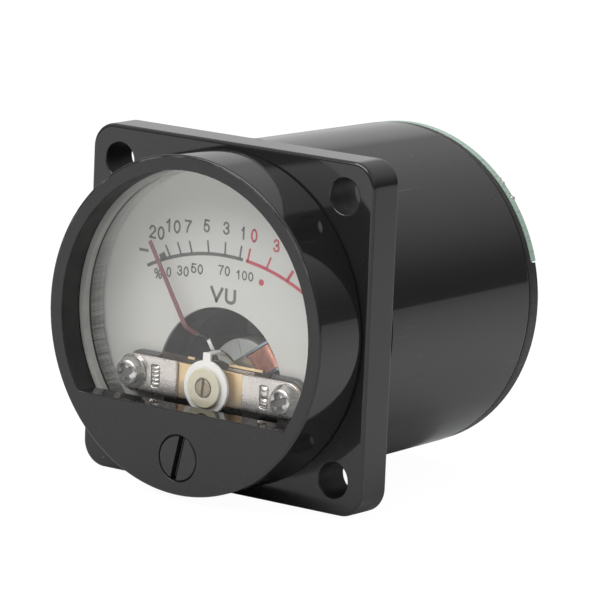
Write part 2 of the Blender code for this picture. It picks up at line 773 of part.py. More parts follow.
def rear_frame_outline():
    """A disc about the pivot with two ears that reach the pillars."""
    radius, ear, ear_half = 10.6, 14.6, 2.1
    turn = asin(ear_half / radius)
    points = arc(0, PIVOT_Z, radius, turn, pi - turn, 24)
    points += arc(-ear + ear_half, PIVOT_Z, ear_half, pi / 2, 3 * pi / 2, 8)
    points += arc(0, PIVOT_Z, radius, pi + turn, 2 * pi - turn, 24)
    points += arc(ear - ear_half, PIVOT_Z, ear_half, -pi / 2, pi / 2, 8)
    return points


def make_rear_frame():
    jewel_hole = circle(0, PIVOT_Z, JEWEL_RADIUS + 0.05, SMALL_STEPS)
    holes = [circle(side * PILLAR_X, PIVOT_Z, PILLAR_SPIGOT + FINE, TINY_STEPS) for side in (-1, 1)]
    frame = plate("rear_frame", [rear_frame_outline(), jewel_hole, *holes], *REAR_FRAME_SPAN)
    finish(frame, "aluminium")
    front, rear = REAR_FRAME_SPAN
    foot, shoulder = CARRIER_REAR + FINE, front - FINE
    for label, side in (("left", -1), ("right", 1)):
        profile = [(0, foot), (PILLAR_RADIUS, foot), (PILLAR_RADIUS, shoulder)]
        profile += [(PILLAR_SPIGOT, shoulder), (PILLAR_SPIGOT, rear + 0.4), (0, rear + 0.4)]
        pillar = turned(f"frame_pillar_{label}", profile, SMALL_STEPS, side * PILLAR_X, PIVOT_Z)
        finish(pillar, "brass")
    make_jewel_screw("jewel_screw_rear", *JEWEL_REAR_SPAN, JEWEL_REAR_SPAN[1], 0.5)
    nut = plate("jewel_lock_nut", [circle(0, PIVOT_Z, NUT_RADIUS, 6), jewel_hole], rear + FINE, rear + 1.2)
    finish(nut, "brass")


# ---------------------------------------------------------------- lamps

def make_lamps():
    outline = rounded_box(-9.2, LEAD_Z - 2.6, 9.2, LEAD_Z + 2.6, 0.8, 3)
    finish(plate("lamp_board", [outline], *LAMP_BOARD_SPAN), "board")
    for label, side in (("left", -1), ("right", 1)):
        make_lamp(label, side)
        make_lamp_lead(label, side)


def make_lamp(label, side):
    """A domed lamp with a flange, standing on the lamp board."""
    foot, collar = LAMP_BOARD_SPAN[0] - 0.2, LAMP_RADIUS + 0.3
    centre = 0.9
    turns = (t * pi / 8 for t in range(5))
    dome = [(LAMP_RADIUS * sin(t), centre - LAMP_RADIUS * cos(t)) for t in turns]
    profile = dome + [(LAMP_RADIUS, foot - 0.9), (collar, foot - 0.9), (collar, foot), (0, foot)]
    finish(turned(f"lamp_{label}", profile, SMALL_STEPS, side * LAMP_X, LEAD_Z), "lamp")


def make_lamp_lead(label, side):
    """A stiff wire from the lamp board through the terminal board, with a cone of solder."""
    front, rear = LAMP_BOARD_SPAN[1] + FINE, BOARD_SPAN[1]
    profile = [(0, front), (LEAD_RADIUS, front), (LEAD_RADIUS, rear + 0.15), (1.0, rear + 0.15)]
    profile += [(0.75, rear + 0.5), (0.4, rear + 1.0), (0, rear + 1.1)]
    finish(turned(f"lamp_lead_{label}", profile, TINY_STEPS, side * LEAD_X, LEAD_Z), "tin")


# ---------------------------------------------------------------- back

def back_holes():
    holes = [circle(side * STUD_X, STUD_Z, STUD_RADIUS + 0.1, SMALL_STEPS) for side in (-1, 1)]
    holes += [circle(side * LEAD_X, LEAD_Z, 0.6, TINY_STEPS) for side in (-1, 1)]
    return holes


def rim_outline():
    """The cover's rim: a ring that is open at the top, where the board fills it."""
    start, end = pi - ARCH_START, 2 * pi + ARCH_START
    return arc(0, 0, COVER_RADIUS, start, end, 40) + arc(0, 0, RIM_INNER, end, start, 40)


def board_outline():
    """A disc inside the rim, and as wide as the cover over the arch above it."""
    start = ARCH_START + ARCH_GAP
    arch = arc(0, 0, COVER_RADIUS, start, pi - start, 28)
    return arch + arc(0, 0, BOARD_RADIUS, pi - start, 2 * pi + start, 36)


def make_back():
    cover = plate("back_cover", [circle(0, 0, COVER_RADIUS, BIG_STEPS), *back_holes()], *COVER_SPAN)
    front, rear = COVER_SPAN[0] - 2.0, COVER_SPAN[0] + 0.3
    join(cover, washer("cover_spigot", 18.2, BORE_RADIUS - GAP, front, rear, BIG_STEPS))
    join(cover, plate("cover_rim", [rim_outline()], COVER_SPAN[1] - 0.3, RIM_REAR))
    finish(cover, "black")
    board = plate("terminal_board", [board_outline(), *back_holes()], *BOARD_SPAN)
    finish(board, "board")
    for label, side in (("left", -1), ("right", 1)):
        make_terminal(label, side * STUD_X)
    make_board_parts()


def make_terminal(label, x):
    plate_rear = CARRIER_FRONT + CARRIER_PLATE
    rear = BOARD_SPAN[1]
    stud = disc(f"terminal_stud_{label}", STUD_RADIUS, plate_rear + FINE, rear + 4.6, SMALL_STEPS, x, STUD_Z)
    finish(stud, "brass")
    bore, seat = STUD_RADIUS + FINE, rear + FINE
    ring = washer(f"terminal_washer_{label}", bore, WASHER_RADIUS, seat, seat + 0.5, MID_STEPS, x, STUD_Z)
    finish(ring, "brass")
    hexagon = circle(x, STUD_Z, HEXAGON_RADIUS, 6)
    bore = circle(x, STUD_Z, STUD_RADIUS + 0.06, SMALL_STEPS)
    nut = plate(f"terminal_nut_{label}", [hexagon, bore], rear + 0.7, rear + 3.1)
    finish(nut, "brass")


def make_board_parts():
    rear = BOARD_SPAN[1] + FINE
    for name, size, x, z, kind in (
        ("bridge_rectifier", (4.8, 3.8, 2.2), 0.0, -3.0, "black"),
        ("series_resistor", (3.2, 1.6, 0.6), -6.5, -6.0, "black"),
        ("smoothing_capacitor", (3.2, 2.5, 1.6), 6.5, -6.0, "cream"),
    ):
        piece = block(name, size, face_frame(x, z, rear + size[2] / 2))
        finish(piece, kind)


def make_coil_leads():
    """Two insulated wires from the movement's rear frame to the terminal studs."""
    for label, side in (("left", -1), ("right", 1)):
        start = Vector((side * 6.0, 15.7, -5.0))
        end = Vector((side * (STUD_X - STUD_RADIUS - 0.55), 24.0, STUD_Z))
        points = []
        for i in range(9):
            share = i / 8
            bow = sin(pi * share) * 2.0
            place = start.lerp(end, share)
            points.append((place.x, place.y + bow, place.z))
        lead = tube(f"coil_lead_{label}", points, 0.4)
        finish(lead, "pointer" if side > 0 else "black")


# ---------------------------------------------------------------- build

def main():
    make_case()
    make_bezel()
    make_lens()
    make_dial()
    make_carrier()
    make_bridge()
    make_hub()
    make_magnet()
    make_rear_frame()
    make_lamps()
    make_back()
    make_coil_leads()
    make_hairspring("hairspring_rear", *SPRING_REAR_SPAN)

    regulator = [make_regulator(), make_hairspring("hairspring_front", *SPRING_FRONT_SPAN)]
    hang(axis_empty("regulator_axis", PIVOT_Z), regulator)
    hang(axis_empty("adjuster_axis", ADJUSTER_Z), make_adjuster())
    moving = make_coil() + make_coil_ends() + make_pointer()
    hang(axis_empty("pointer_axis", PIVOT_Z), moving)
    for thing in PARTS.objects:
        if thing.type == "MESH":
            smooth(thing)


main()
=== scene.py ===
"""Looks of the panel VU meter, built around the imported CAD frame.

Sizes in this script are millimetres in the row frame: the dial looks towards -Y, +X is to the right
of someone reading it and +Z is up. Meshes are written in metres.
"""

from math import acos, asin, cos, floor, hypot, pi, radians, sin

import bmesh
import bpy
from mathutils import Matrix, Vector, noise


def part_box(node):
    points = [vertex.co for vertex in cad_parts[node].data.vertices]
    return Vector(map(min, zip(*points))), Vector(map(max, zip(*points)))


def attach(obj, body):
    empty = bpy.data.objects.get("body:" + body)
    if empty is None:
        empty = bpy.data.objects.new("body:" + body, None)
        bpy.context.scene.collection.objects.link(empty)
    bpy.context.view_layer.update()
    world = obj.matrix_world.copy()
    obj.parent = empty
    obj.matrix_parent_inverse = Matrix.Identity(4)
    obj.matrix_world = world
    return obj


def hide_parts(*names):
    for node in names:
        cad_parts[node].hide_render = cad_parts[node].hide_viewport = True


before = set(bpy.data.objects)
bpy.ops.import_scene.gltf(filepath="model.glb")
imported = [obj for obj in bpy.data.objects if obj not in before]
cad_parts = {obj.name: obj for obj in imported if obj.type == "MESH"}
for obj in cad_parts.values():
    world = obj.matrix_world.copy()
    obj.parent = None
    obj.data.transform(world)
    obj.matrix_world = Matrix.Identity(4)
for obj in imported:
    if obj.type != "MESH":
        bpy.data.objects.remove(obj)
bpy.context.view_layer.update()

MM = 0.001
ROUND = 160         # steps round a large circle
MEDIUM = 96
SMALL = 48
SIDES = (("left", -1), ("right", 1))


# ---- places taken from the frame

def span(node):
    """Lowest and highest corner of a CAD node in millimetres."""
    low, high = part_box(node)
    return low / MM, high / MM


def y_span(node):
    low, high = span(node)
    return low.y, high.y


def middle(node):
    low, high = span(node)
    return (low + high) / 2


PIVOT_Z = middle("core_magnet").z
ADJUSTER_Z = middle("adjuster_clip").z
FLANGE_HALF = span("case_body")[1].x
FLANGE_FRONT, BARREL_REAR = y_span("case_body")
BEZEL_FRONT, BEZEL_BASE = y_span("front_bezel")
BEZEL_RADIUS = span("front_bezel")[1].x
LENS_FRONT, LENS_REAR = y_span("window_lens")
LENS_RADIUS = span("window_lens")[1].x
DIAL_FRONT, DIAL_REAR = y_span("dial_plate")
DIAL_RADIUS = span("dial_plate")[1].x
SCREW_X = middle("bridge_screw_right").x
SCREW_Z = middle("bridge_screw_right").z
BRIDGE_Z = middle("bridge_plate_right").z
PLATE_FRONT, PLATE_REAR = y_span("bridge_plate_right")
PLATE_INNER = span("bridge_plate_right")[0].x
PLATE_OUTER = span("bridge_plate_right")[1].x
POST_INNER = span("bridge_post_right")[0].x
BRASS_FRONT, BRASS_REAR = y_span("bearing_bridge")
BOARD_FRONT, BOARD_REAR = y_span("terminal_board")
COVER_RADIUS = span("back_cover")[1].x
STUD_X = middle("terminal_stud_right").x
STUD_Z = middle("terminal_stud_right").z
LEAD_X = middle("lamp_lead_right").x
LEAD_Z = middle("lamp_lead_right").z

# Sizes that a box can't give, the same as in the CAD source
FLANGE_CORNER = 3.3
HOLE_PITCH = 36.0
HOLE_RADIUS = 2.25
BARREL_FRONT_RADIUS = 21.95
BARREL_REAR_RADIUS = 21.5
BORE_RADIUS = 19.9
POCKET_RADIUS = 20.3
POCKET_FLOOR = -10.7
WINDOW_RADIUS = 19.7
LENS_SEAM = -9.0           # where the cup's clear wall meets its ribbed skirt
WINDOW_CHORD = -10.8
ADJUSTER_HOLE = 3.02
RIM_INNER = 20.95
BOARD_RADIUS = 20.85
ARCH_START = radians(15)
RIB_HALF = 8.2
RIB_THICK = 0.25
RIB_SPAN_Z = (-7.1, -5.3)
DIAL_FOOT = -12.2
CUTOUT_RADIUS = 9.88
SLOT_X = 8.75
SLOT_SIZE = (1.4, 2.9)
JEWEL_RADIUS = 1.2
RING_RADIUS = 3.5
POINTER_ANGLE = radians(-31.5)      # clockwise from vertical
COIL_ANGLE = POINTER_ANGLE + radians(87)


# ---- outlines

def arc(cx, cy, radius, start, end, steps):
    """Points of an arc, with both end angles counted counterclockwise from +X."""
    turns = (start + (end - start) * i / steps for i in range(steps + 1))
    return [(cx + radius * cos(t), cy + radius * sin(t)) for t in turns]


def circle(cx, cy, radius, steps=SMALL):
    return arc(cx, cy, radius, 0.0, 2 * pi, steps)[:-1]


def rounded_box(x0, y0, x1, y1, radius, steps=8):
    points = arc(x1 - radius, y1 - radius, radius, 0.0, pi / 2, steps)
    points += arc(x0 + radius, y1 - radius, radius, pi / 2, pi, steps)
    points += arc(x0 + radius, y0 + radius, radius, pi, 3 * pi / 2, steps)
    points += arc(x1 - radius, y0 + radius, radius, 3 * pi / 2, 2 * pi, steps)
    return points


def box_outline(cx, cy, width, height, radius, steps=8):
    return rounded_box(cx - width / 2, cy - height / 2, cx + width / 2, cy + height / 2, radius, steps)


def area(points):
    return sum(x0 * y1 - x1 * y0 for (x0, y0), (x1, y1) in zip(points, points[1:] + points[:1])) / 2


def inset(points, depth):
    """Move a closed outline to its left side by a small depth."""
    moved = []
    for before, here, after in zip(points[-1:] + points[:-1], points, points[1:] + points[:1]):
        a = Vector((here[0] - before[0], here[1] - before[1])).normalized()
        b = Vector((after[0] - here[0], after[1] - here[1])).normalized()
        left = Vector((-a.y - b.y, a.x + b.x))
        scale = depth / max(0.35, 1 + a.dot(b))
        moved.append((here[0] + left.x * scale, here[1] + left.y * scale))
    return moved


def ribbon(path, width):
    """Outline of a strip of constant width along an open path."""
    left, right = [], []
    for i, (x, y) in enumerate(path):
        before = path[max(i - 1, 0)]
        after = path[min(i + 1, len(path) - 1)]
        dx, dy = after[0] - before[0], after[1] - before[1]
        scale = width / 2 / hypot(dx, dy)
        left.append((x - dy * scale, y + dx * scale))
        right.append((x + dy * scale, y - dx * scale))
    return right + left[::-1]


def fillet(points, radius, steps=5):
    """An open path with its inner corners rounded."""
    made = [points[0]]
    for before, here, after in zip(points, points[1:], points[2:]):
        p, a, b = Vector(here), Vector(before), Vector(after)
        reach = min(radius, (a - p).length * 0.48, (b - p).length * 0.48)
        start = p + (a - p).normalized() * reach
        end = p + (b - p).normalized() * reach
        for i in range(steps + 1):
            t = i / steps
            made.append(tuple(start * (1 - t) ** 2 + p * 2 * t * (1 - t) + end * t * t))
    made.append(points[-1])
    return made


def polar(radius, clockwise):
    """Point at a radius from the pivot, at an angle clockwise from vertical in degrees."""
    turn = radians(clockwise)
    return (radius * sin(turn), PIVOT_Z + radius * cos(turn))


# ---- meshes

def facing(x=0.0, z=0.0):
    """Turns (x, z, y) of a plan parallel to the dial into a point in metres."""
    return lambda px, pz, y: Vector(((px + x) * MM, y * MM, (pz + z) * MM))


def side_plan(angle):
    """Turns (reach from the pivot, y, width across) into a point in metres, at a clockwise angle."""
    out = Vector((sin(angle), 0.0, cos(angle)))
    side = Vector((-cos(angle), 0.0, sin(angle)))
    return lambda px, py, w: (out * px + side * w + Vector((0.0, py, PIVOT_Z))) * MM


def add_object(name, data):
    made = bpy.data.objects.new(name, data)
    bpy.context.scene.collection.objects.link(made)
    return made


def new_object(name, shape, sharp=40.0, weighted=True):
    bmesh.ops.remove_doubles(shape, verts=shape.verts, dist=1e-7)
    bmesh.ops.recalc_face_normals(shape, faces=shape.faces)
    mesh = bpy.data.meshes.new(name)
    shape.to_mesh(mesh)
    shape.free()
    return soften(add_object(name, mesh), sharp, weighted)


def soften(thing, sharp=40.0, weighted=True):
    thing.data.shade_smooth()
    thing.data.set_sharp_from_angle(angle=radians(sharp))
    for face in thing.data.polygons:
        if abs(face.normal.y) > 0.9999:
            face.use_smooth = False
    if weighted:
        normals = thing.modifiers.new("normals", "WEIGHTED_NORMAL")
        normals.keep_sharp = True
    return thing


def add_loop(shape, points):
    return [shape.verts.new(p) for p in points]


def bridge(shape, first, second, closed=True):
    count = len(first)
    for i in range(count if closed else count - 1):
        j = (i + 1) % count
        shape.faces.new((first[i], first[j], second[j], second[i]))


def fill(shape, loops):
    """Cap a flat region; the first loop is its outside and the others are holes."""
    edges = []
    for loop in loops:
        for a, b in zip(loop, loop[1:] + loop[:1]):
            edges.append(shape.edges.get((a, b)) or shape.edges.new((a, b)))
    bmesh.ops.triangle_fill(shape, use_beauty=True, use_dissolve=False, edges=edges)


def skin(shape, put, rings):
    """Join rings of (outline, y) one after another and return the first and the last loop."""
    loops = [add_loop(shape, [put(px, pz, y) for px, pz in ring]) for ring, y in rings]
    for a, b in zip(loops, loops[1:]):
        bridge(shape, a, b)
    return loops[0], loops[-1]


def quarter(depth, steps):
    """Pairs (inset, drop) round a quarter-circle edge, from the flat face to the side wall."""
    turns = [pi / 2 * i / steps for i in range(steps + 1)]
    return [(depth * (1 - sin(t)), depth * (1 - cos(t))) for t in turns]


def front_rim(radius, y, edge, steps):
    """Profile points of a rounded rim whose flat side is in front."""
    return [(radius - d, y + drop) for d, drop in quarter(edge, steps)]


def rear_rim(radius, y, edge, steps):
    return [(radius - d, y - drop) for d, drop in reversed(quarter(edge, steps))]


def rounded_rings(points, front, rear, edge, rear_edge, steps):
    """Rings down the side of a flat piece with both edges rounded."""
    rings = [(inset(points, d), front + drop) for d, drop in quarter(edge, steps)]
    return rings + [(inset(points, d), rear - drop) for d, drop in reversed(quarter(rear_edge, steps))]


def plate(name, outlines, front, rear, edge=0.08, rear_edge=None, steps=4, place=None, sharp=40.0):
    """A flat piece with rounded edges; further outlines are holes. Edges may differ front and rear."""
    put = place or facing()
    rear_edge = edge if rear_edge is None else rear_edge
    shape = bmesh.new()
    fronts, rears = [], []
    for k, points in enumerate(outlines):
        turn = area(points) > 0
        if turn == (k > 0):
            points = points[::-1]
        first, last = skin(shape, put, rounded_rings(points, front, rear, edge, rear_edge, steps))
        fronts.append(first)
        rears.append(last)
    fill(shape, fronts)
    fill(shape, rears)
    return new_object(name, shape, sharp)


def turned(name, profile, steps=MEDIUM, x=0.0, z=0.0, sharp=40.0):
    """A piece turned about an axis along Y. A profile that starts and ends off the axis is closed."""
    put = facing(x, z)
    shape = bmesh.new()
    loops = []
    for radius, y in profile:
        if radius < 1e-6:
            loops.append([shape.verts.new(put(0.0, 0.0, y))])
        else:
            loops.append(add_loop(shape, [put(px, pz, y) for px, pz in circle(0, 0, radius, steps)]))
    if len(loops[0]) > 1:
        loops.append(loops[0])
    for a, b in zip(loops, loops[1:]):
        if len(a) == 1 or len(b) == 1:
            tip, ring = (a[0], b) if len(a) == 1 else (b[0], a)
            if len(ring) > 1:
                for i, vert in enumerate(ring):
                    shape.faces.new((vert, ring[(i + 1) % len(ring)], tip))
        else:
            bridge(shape, a, b)
    return new_object(name, shape, sharp)


def block(name, size, centre, edge=0.05, turn=None, steps=2):
    """A box with rounded edges."""
    shape = bmesh.new()
    bmesh.ops.create_cube(shape, size=1.0)
    bmesh.ops.scale(shape, vec=Vector(size) * MM, verts=shape.verts)
    if edge:
        bmesh.ops.bevel(shape, geom=list(shape.edges), offset=edge * MM, segments=steps,
                        affect="EDGES", profile=0.5)
    if turn:
        bmesh.ops.transform(shape, matrix=turn, verts=shape.verts)
    bmesh.ops.translate(shape, vec=Vector(centre) * MM, verts=shape.verts)
    return new_object(name, shape)


def wire(name, points, radius, sides=10):
    """A round wire through points in millimetres, on one smooth curve."""
    curve = bpy.data.curves.new(name, "CURVE")
    curve.dimensions = "3D"
    curve.bevel_depth = radius * MM
    curve.bevel_resolution = sides // 2 - 2
    curve.use_fill_caps = True
    curve.resolution_u = 8
    spline = curve.splines.new("NURBS")
    spline.points.add(len(points) - 1)
    for point, place in zip(spline.points, points):
        point.co = (*(side * MM for side in place), 1.0)
    spline.order_u = 4
    spline.use_endpoint_u = True
    holder = add_object(name + "_path", curve)
    mesh = evaluated_mesh(holder)
    bpy.data.objects.remove(holder)
    shape = bmesh.new()
    shape.from_mesh(mesh)
    bpy.data.meshes.remove(mesh)
    return new_object(name, shape)


def evaluated_mesh(thing):
    bpy.context.view_layer.update()
    graph = bpy.context.evaluated_depsgraph_get()
    return bpy.data.meshes.new_from_object(thing.evaluated_get(graph))


def carve(thing, *tools, operation="DIFFERENCE", sharp=40.0):
    """Cut or join with other meshes, which are then removed."""
    thing.modifiers.clear()
    for tool in tools:
        tool.modifiers.clear()
        step = thing.modifiers.new(tool.name, "BOOLEAN")
        step.operation = operation
        step.solver = "EXACT"
        step.object = tool
    mesh = evaluated_mesh(thing)
    thing.modifiers.clear()
    thing.data = mesh
    for tool in tools:
        bpy.data.objects.remove(tool)
    return soften(thing, sharp)


def merged(name, things, sharp=40.0):
    """One object from several that don't overlap."""
    shape = bmesh.new()
    for thing in things:
        mesh = evaluated_mesh(thing)
        shape.from_mesh(mesh)
        bpy.data.meshes.remove(mesh)
        bpy.data.objects.remove(thing)
    return new_object(name, shape, sharp)


# ---- materials

def shade(base, share):
    """A colour made darker or lighter."""
    return tuple(c * share for c in base)


class Nodes:
    """Short ways to build a node tree."""

    def __init__(self, tree):
        self.tree = tree

    def node(self, kind, **settings):
        made = self.tree.nodes.new(kind)
        for key, value in settings.items():
            setattr(made, key, value)
        return made

    def link(self, source, target):
        self.tree.links.new(source, target)
        return source

    def map(self, value, low, high, to_low, to_high, smooth=False):
        made = self.node("ShaderNodeMapRange")
        made.interpolation_type = "SMOOTHSTEP" if smooth else "LINEAR"
        self.link(value, made.inputs["Value"])
        limits = {"From Min": low, "From Max": high, "To Min": to_low, "To Max": to_high}
        for key, number in limits.items():
            made.inputs[key].default_value = number
        return made.outputs["Result"]

    def math(self, operation, a, b=0.0):
        made = self.node("ShaderNodeMath", operation=operation)
        for socket, value in zip(made.inputs, (a, b)):
            if isinstance(value, (int, float)):
                socket.default_value = value
            else:
                self.link(value, socket)
        return made.outputs[0]

    def blend(self, share, first, second):
        """Mix two shaders."""
        made = self.node("ShaderNodeMixShader")
        for source, socket in zip((share, first, second), made.inputs):
            self.link(source, socket)
        return made.outputs[0]


class Finish(Nodes):
    """A procedural material on a Principled shader, in object coordinates, which are metres."""

    def __init__(self, name, metallic=0.0, ior=1.5, **constants):
        self.material = bpy.data.materials.new(name)
        self.material.use_nodes = True
        super().__init__(self.material.node_tree)
        self.shader = self.tree.nodes["Principled BSDF"]
        self.shader.inputs["Metallic"].default_value = metallic
        self.shader.inputs["IOR"].default_value = ior
        for socket, value in constants.items():
            self.shader.inputs[socket.replace("_", " ")].default_value = value
        self.coords = self.node("ShaderNodeTexCoord").outputs["Object"]
        self.height = None

    def stretch(self, scale, turn=(0.0, 0.0, 0.0)):
        """Coordinates scaled per axis, in cycles a metre."""
        mapping = self.node("ShaderNodeMapping")
        mapping.inputs["Scale"].default_value = scale
        mapping.inputs["Rotation"].default_value = turn
        self.link(self.coords, mapping.inputs["Vector"])
        return mapping.outputs["Vector"]

    def noise(self, scale, detail=4.0, rough=0.55, vector=None):
        made = self.node("ShaderNodeTexNoise")
        made.inputs["Scale"].default_value = scale
        made.inputs["Detail"].default_value = detail
        made.inputs["Roughness"].default_value = rough
        self.link(vector or self.coords, made.inputs["Vector"])
        return made.outputs["Fac"]

    def mix(self, factor, a, b, blend="MIX"):
        """Mix two colours, each a tuple or a socket."""
        made = self.node("ShaderNodeMix", data_type="RGBA", blend_type=blend)
        self.link(factor, made.inputs[0])
        for socket, value in ((made.inputs[6], a), (made.inputs[7], b)):
            if isinstance(value, tuple):
                socket.default_value = (*value, 1.0)
            else:
                self.link(value, socket)
        return made.outputs[2]

    def specks(self, scale, size, share, vector=None):
        """1 on small dots: one in a share of the cells of a grid of the given scale has one."""
        cells = self.node("ShaderNodeTexVoronoi")
        cells.inputs["Scale"].default_value = scale
        self.link(vector or self.coords, cells.inputs["Vector"])
        dot = self.map(cells.outputs["Distance"], size * 0.6, size, 1.0, 0.0)
        picked = self.node("ShaderNodeSeparateColor")
        self.link(cells.outputs["Color"], picked.inputs["Color"])
        chosen = self.math("LESS_THAN", picked.outputs[0], share)
        return self.math("MULTIPLY", dot, chosen)

    def scratches(self, along, across, threshold, turn=(0.0, 0.0, 0.0)):
        """Thin lines from stretched noise."""
        lines = self.noise(1.0, 2.0, 0.5, self.stretch((across, along, across), turn))
        return self.map(lines, threshold, threshold + 0.03, 0.0, 1.0)

    def axes(self):
        """Distance from the case's axis and depth along it, both in metres."""
        split = self.node("ShaderNodeSeparateXYZ")
        self.link(self.coords, split.inputs[0])
        squares = [self.math("MULTIPLY", split.outputs[k], split.outputs[k]) for k in (0, 2)]
        return self.math("SQRT", self.math("ADD", *squares)), split.outputs[1], split.outputs[2]

    def band(self, value, low, high, fade=0.03):
        """1 where a length lies between two others; all three in millimetres."""
        rise = self.map(value, (low - fade) * MM, low * MM, 0.0, 1.0)
        fall = self.map(value, high * MM, (high + fade) * MM, 1.0, 0.0)
        return self.math("MULTIPLY", rise, fall)

    def surface(self, shader):
        """Use a shader of its own in place of the Principled one."""
        out = next(n for n in self.tree.nodes if n.type == "OUTPUT_MATERIAL")
        self.link(shader, out.inputs["Surface"])

    def color(self, socket):
        self.link(socket, self.shader.inputs["Base Color"])

    def rough(self, socket):
        self.link(socket, self.shader.inputs["Roughness"])

    def gloss(self, scale, detail, low, high):
        """Roughness that wanders between two values."""
        self.rough(self.map(self.noise(scale, detail), 0.3, 0.7, low, high))

    def bump(self, height, distance, strength=1.0):
        """Bumps add up; distance is in millimetres."""
        made = self.node("ShaderNodeBump")
        made.inputs["Strength"].default_value = strength
        made.inputs["Distance"].default_value = distance * MM
        self.link(height, made.inputs["Height"])
        if self.height:
            self.link(self.height, made.inputs["Normal"])
        self.height = made.outputs["Normal"]
        self.link(self.height, self.shader.inputs["Normal"])


def moulded_black(name, rough=0.07, base=(0.0145, 0.0136, 0.014), dust=0.10, rim=None):
    """Glossy injection-moulded plastic with dust, hairline scratches and a slight orange peel; a rim
    band, if given, is a painted highlight.
    """
    made = Finish(name, ior=1.5)
    cloud = made.noise(130.0, 3.0)
    tint = made.mix(cloud, base, shade(base, 1.25))
    specks = made.specks(420.0, 0.045, dust)
    lint = made.scratches(60.0, 2600.0, 0.73, (0.5, 0.3, 0.9))
    dust_and_sheen = made.math("MULTIPLY", made.math("MAXIMUM", specks, made.math("MULTIPLY", lint, 0.25)), 0.55)
    # The patchy lighter band at the given depths is a painted highlight along the rim.
    if rim:
        _, depth, _ = made.axes()
        patchy = made.map(made.noise(700.0), 0.3, 0.6, 0.25, 0.9)
        painted_rim_highlight = made.math("MULTIPLY", made.band(depth, *rim), patchy)
        dust_and_sheen = made.math("MAXIMUM", dust_and_sheen, painted_rim_highlight)
    made.color(made.mix(dust_and_sheen, tint, (0.30, 0.30, 0.30)))
    gloss = made.map(made.noise(260.0, 5.0), 0.3, 0.75, rough * 0.8, rough * 1.35)
    made.rough(made.math("ADD", gloss, made.math("MULTIPLY", dust_and_sheen, 0.5)))
    made.bump(made.noise(90.0, 2.0), 0.02, 0.6)
    made.bump(specks, 0.02, 0.5)
    return made.material


def satin_black(name, rough=0.25, base=(0.0105, 0.0098, 0.0103), edge=None):
    """The finely eroded face of the bezel; an edge band, if given, is a painted highlight along its upper
    part.
    """
    made = Finish(name, ior=1.5)
    cloud = made.noise(150.0, 4.0)
    specks = made.specks(520.0, 0.04, 0.07)
    tint = made.mix(cloud, base, shade(base, 1.2))
    dust_and_sheen = made.math("MULTIPLY", specks, 0.5)
    if edge:
        # A patchy lighter band near the outer edge, only on the upper part: a painted highlight.
        reach, _, height = made.axes()
        patchy = made.map(made.noise(350.0), 0.42, 0.68, 0.0, 0.4)
        painted_edge_highlight = made.math("MULTIPLY", made.band(reach, *edge), patchy)
        painted_edge_highlight = made.math("MULTIPLY", painted_edge_highlight, made.map(height, 4 * MM, 12 * MM, 0.0, 1.0))
        dust_and_sheen = made.math("MAXIMUM", dust_and_sheen, painted_edge_highlight)
    made.color(made.mix(dust_and_sheen, tint, (0.28, 0.28, 0.28)))
    made.gloss(300.0, 5.0, rough * 0.85, rough * 1.2)
    made.bump(made.noise(4200.0, 3.0), 0.006, 0.5)
    return made.material


def clear_plastic(name, haze=0.0, tint=(0.98, 0.98, 0.975), streaks=False):
    """Thin clear moulding: it passes light straight through and mirrors at its surface."""
    made = Finish(name, ior=1.49)
    made.tree.nodes.remove(made.shader)
    edge_on = made.node("ShaderNodeLayerWeight")
    edge_on.inputs["Blend"].default_value = 0.5
    grazing = made.math("POWER", edge_on.outputs["Facing"], 5.0)
    mirror_share = made.map(grazing, 0.0, 1.0, 0.05, 1.0)
    see = made.node("ShaderNodeBsdfTransparent")
    see.inputs["Color"].default_value = (*tint, 1.0)
    gloss = made.node("ShaderNodeBsdfGlossy")
    made.link(made.map(made.noise(300.0, 3.0), 0.3, 0.7, 0.02, 0.05), gloss.inputs["Roughness"])
    body = see.outputs[0]
    if haze:
        milky = made.node("ShaderNodeBsdfDiffuse")
        cloud = made.noise(220.0, 4.0)
        milky_color = made.mix(cloud, (0.72, 0.725, 0.70), (0.80, 0.805, 0.785))
        share = made.map(made.noise(180.0, 3.0), 0.3, 0.7, haze * 0.85, min(1.0, haze * 1.15))
        if streaks:
            ribs = made.noise(1.0, 5.0, 0.8, made.stretch((7000.0, 50.0, 7000.0)))
            low_down = made.map(made.axes()[2], -3.0 * MM, 12.0 * MM, 1.0, 0.1)
            ribs = made.math("MULTIPLY", made.map(ribs, 0.34, 0.62, 0.25, 1.0), low_down)
            milky_color = made.mix(ribs, milky_color, (0.20, 0.20, 0.20))
            # A dark band at the front of the skirt, where the wall meets it, is a painted shadow in the
            # gap between them.
            seam_shadow = made.band(made.axes()[1], LENS_SEAM, LENS_SEAM + 0.28)
            milky_color = made.mix(seam_shadow, milky_color, (0.03, 0.03, 0.03))
        made.link(milky_color, milky.inputs["Color"])
        body = made.blend(share, body, milky.outputs[0])
    made.surface(made.blend(mirror_share, body, gloss.outputs[0]))
    return made.material


def painted_dial(name, base=(0.665, 0.664, 0.642)):
    """Silver-grey dial paint with a very fine grain."""
    made = Finish(name, ior=1.4)
    grain = made.noise(9000.0, 3.0, 0.7)
    cloud = made.noise(120.0, 3.0)
    tint = made.mix(cloud, base, shade(base, 0.955))
    made.color(made.mix(made.map(grain, 0.35, 0.65, 0.0, 0.06), tint, (0.42, 0.42, 0.41)))
    made.rough(made.map(grain, 0.3, 0.7, 0.42, 0.62))
    made.bump(grain, 0.004, 0.4)
    return made.material


def ink(name, base):
    """Screen-printed ink, slightly uneven."""
    made = Finish(name, ior=1.45)
    patchy = made.noise(2600.0, 4.0, 0.7)
    thin = tuple(min(1.0, c * 1.5 + 0.03) for c in base)
    made.color(made.mix(made.map(patchy, 0.35, 0.7, 0.0, 0.45), base, thin))
    made.rough(made.map(patchy, 0.3, 0.7, 0.45, 0.7))
    made.bump(patchy, 0.004, 0.5)
    return made.material


